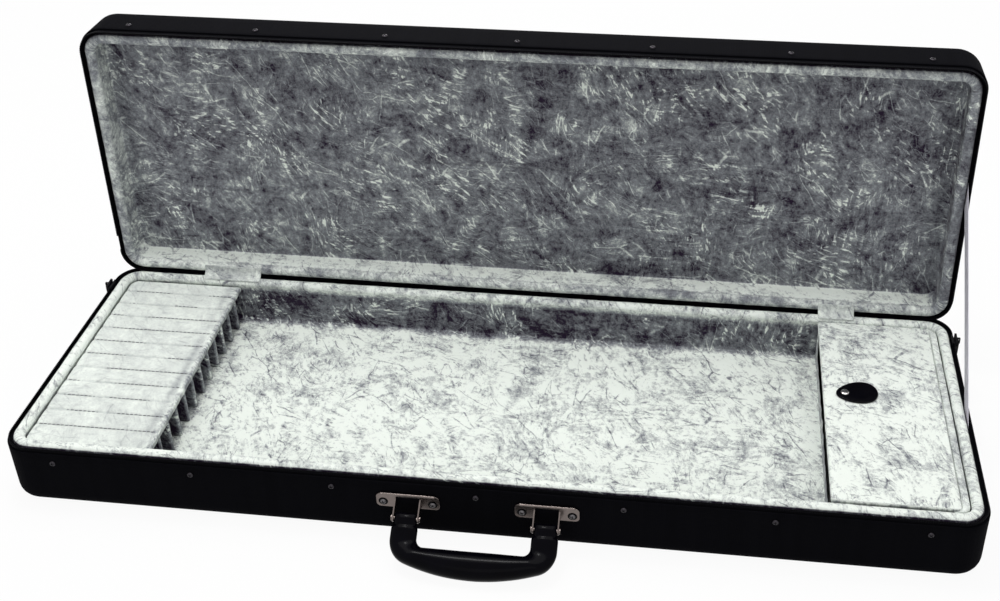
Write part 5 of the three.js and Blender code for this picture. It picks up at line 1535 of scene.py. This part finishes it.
def make_camera(stage):
    camera = bpy.data.cameras.new("camera")
    camera.sensor_fit, camera.sensor_width = "HORIZONTAL", 36
    camera.lens = FOCAL_PIXELS / PHOTO_WIDTH * camera.sensor_width
    camera.shift_x = (PHOTO_WIDTH / 2 - AXIS_PIXEL[0]) / PHOTO_WIDTH
    camera.shift_y = (AXIS_PIXEL[1] - PHOTO_HEIGHT / 2) / PHOTO_WIDTH
    turn, rise = stage.azimuth, stage.elevation
    back = Vector((math.sin(turn) * math.cos(rise), -math.cos(turn) * math.cos(rise), math.sin(rise)))
    right = (-back).cross(Vector((0, 0, 1))).normalized()
    up = right.cross(-back)
    cos, sin = math.cos(stage.roll), math.sin(stage.roll)
    axes = Matrix((right * cos + up * sin, up * cos - right * sin, back)).transposed()
    bpy.context.scene.camera = put("camera", camera)
    bpy.context.scene.camera.matrix_world = Matrix.Translation(AIM + back * stage.distance) @ axes.to_4x4()


# Operators, panel and registration

class BOWCASE_OT_stage(bpy.types.Operator):
    """Make the floor, the soft light and the camera"""

    bl_idname = "bow_case.stage"
    bl_label = "Stage"

    def execute(self, context):
        stage = context.scene.bow_case_stage
        make_camera(stage)
        make_floor()
        make_world(stage.ambient)
        make_lamp("overhead", (0.0, 0.15, 1.7), (0, 0.02, 0.05), 2.2, 1.2, stage.lamp_power)
        make_lamp("key", (-0.25, 0.1, 1.6), (0, -0.05, 0.05), 0.26, 0.26, stage.key_power)
        make_lamp("front_fill", (0.3, -2.2, 1.1), (0, 0, 0.1), 1.6, 1.0, stage.fill_power)
        make_lamp("back_fill", (-0.4, 2.2, 0.9), (0, 0.1, 0.15), 1.6, 1.0, stage.back_power)
        context.scene.view_settings.view_transform = "Standard"
        return {"FINISHED"}


class BOWCASE_OT_covers(bpy.types.Operator):
    """Make the black cloth covers and finish the plywood under them"""

    bl_idname = "bow_case.covers"
    bl_label = "Covers"

    def execute(self, context):
        for half in (BASE, LID):
            make_cover(half)
        dress("plywood", "base_shell", "lid_shell")
        return {"FINISHED"}


class BOWCASE_OT_linings(bpy.types.Operator):
    """Make the plush linings of both halves"""

    bl_idname = "bow_case.linings"
    bl_label = "Plush Linings"

    def execute(self, context):
        for half in (BASE, LID):
            make_lining(half, context.scene.bow_case_sizes)
        return {"FINISHED"}


class BOWCASE_OT_zip(bpy.types.Operator):
    """Make the tapes and teeth of the zip and finish its sliders and pulls"""

    bl_idname = "bow_case.zip"
    bl_label = "Zip"

    def execute(self, context):
        for half in (BASE, LID):
            make_zip(half, context.scene.bow_case_sizes)
        dress("enamel", *nodes_named("zip_slider", "zip_pull"))
        return {"FINISHED"}


class BOWCASE_OT_tip_block(bpy.types.Operator):
    """Make the sewn pad and the cards of the slots for the tips"""

    bl_idname = "bow_case.tip_block"
    bl_label = "Tip Block"

    def execute(self, context):
        sizes = context.scene.bow_case_sizes
        make_slab(sizes)
        make_stitches(sizes)
        make_cards(sizes)
        return {"FINISHED"}


class BOWCASE_OT_frog_block(bpy.types.Operator):
    """Make the notched wall, the floor and ledge, and the flap over the frogs"""

    bl_idname = "bow_case.frog_block"
    bl_label = "Frog Block"

    def execute(self, context):
        sizes = context.scene.bow_case_sizes
        make_rest()
        make_ledge()
        make_flap(sizes)
        make_tab()
        return {"FINISHED"}


class BOWCASE_OT_handle(bpy.types.Operator):
    """Make the handle and its brackets and finish the pins"""

    bl_idname = "bow_case.handle"
    bl_label = "Handle"

    def execute(self, context):
        make_handle(context.scene.bow_case_sizes)
        for side in ("left", "right"):
            make_bracket(side)
        dress("nickel", *nodes_named("handle_pin"))
        return {"FINISHED"}


class BOWCASE_OT_screws(bpy.types.Operator):
    """Make the screws along the walls and in the brackets"""

    bl_idname = "bow_case.screws"
    bl_label = "Screws"

    def execute(self, context):
        make_screws()
        return {"FINISHED"}


class BOWCASE_OT_hinges(bpy.types.Operator):
    """Make the patches over the hinges, the spine tape and the lid's ribbon"""

    bl_idname = "bow_case.hinges"
    bl_label = "Hinges and Ribbon"

    def execute(self, context):
        sizes = context.scene.bow_case_sizes
        for side in ("left", "right"):
            make_patch(side, sizes)
        make_spine()
        make_stay()
        dress("steel", *nodes_named("hinge_base_leaf", "hinge_lid_leaf"))
        return {"FINISHED"}


MAKERS = (
    BOWCASE_OT_stage, BOWCASE_OT_covers, BOWCASE_OT_linings, BOWCASE_OT_zip, BOWCASE_OT_tip_block,
    BOWCASE_OT_frog_block, BOWCASE_OT_handle, BOWCASE_OT_screws, BOWCASE_OT_hinges,
)


class BOWCASE_PT_panel(bpy.types.Panel):
    """Sidebar panel with the case's sizes, colours and makers"""

    bl_idname = "BOWCASE_PT_panel"
    bl_label = "Bow Case"
    bl_space_type = "VIEW_3D"
    bl_region_type = "UI"
    bl_category = "Bow Case"

    def draw(self, context):
        scene = context.scene
        for label, group in (
            ("Sizes", scene.bow_case_sizes),
            ("Colours", scene.bow_case_colours),
            ("Stage", scene.bow_case_stage),
        ):
            box = self.layout.box()
            box.label(text=label)
            for name in group.bl_rna.properties.keys():
                if name not in ("rna_type", "name"):
                    box.prop(group, name)
        for maker in MAKERS:
            self.layout.operator(maker.bl_idname)


GROUPS = {
    "bow_case_sizes": BowCaseSizes, "bow_case_colours": BowCaseColours, "bow_case_stage": BowCaseStage,
}


def register():
    for group in GROUPS.values():
        bpy.utils.register_class(group)
    for name, group in GROUPS.items():
        setattr(bpy.types.Scene, name, PointerProperty(type=group))
    for maker in MAKERS:
        bpy.utils.register_class(maker)
    bpy.utils.register_class(BOWCASE_PT_panel)


def unregister():
    bpy.utils.unregister_class(BOWCASE_PT_panel)
    for maker in reversed(MAKERS):
        bpy.utils.unregister_class(maker)
    for name in GROUPS:
        delattr(bpy.types.Scene, name)
    for group in reversed(GROUPS.values()):
        bpy.utils.unregister_class(group)


def main():
    register()
    for maker in MAKERS:
        group, name = maker.bl_idname.split(".")
        getattr(getattr(bpy.ops, group), name)()


if __name__ == "__main__":
    main()
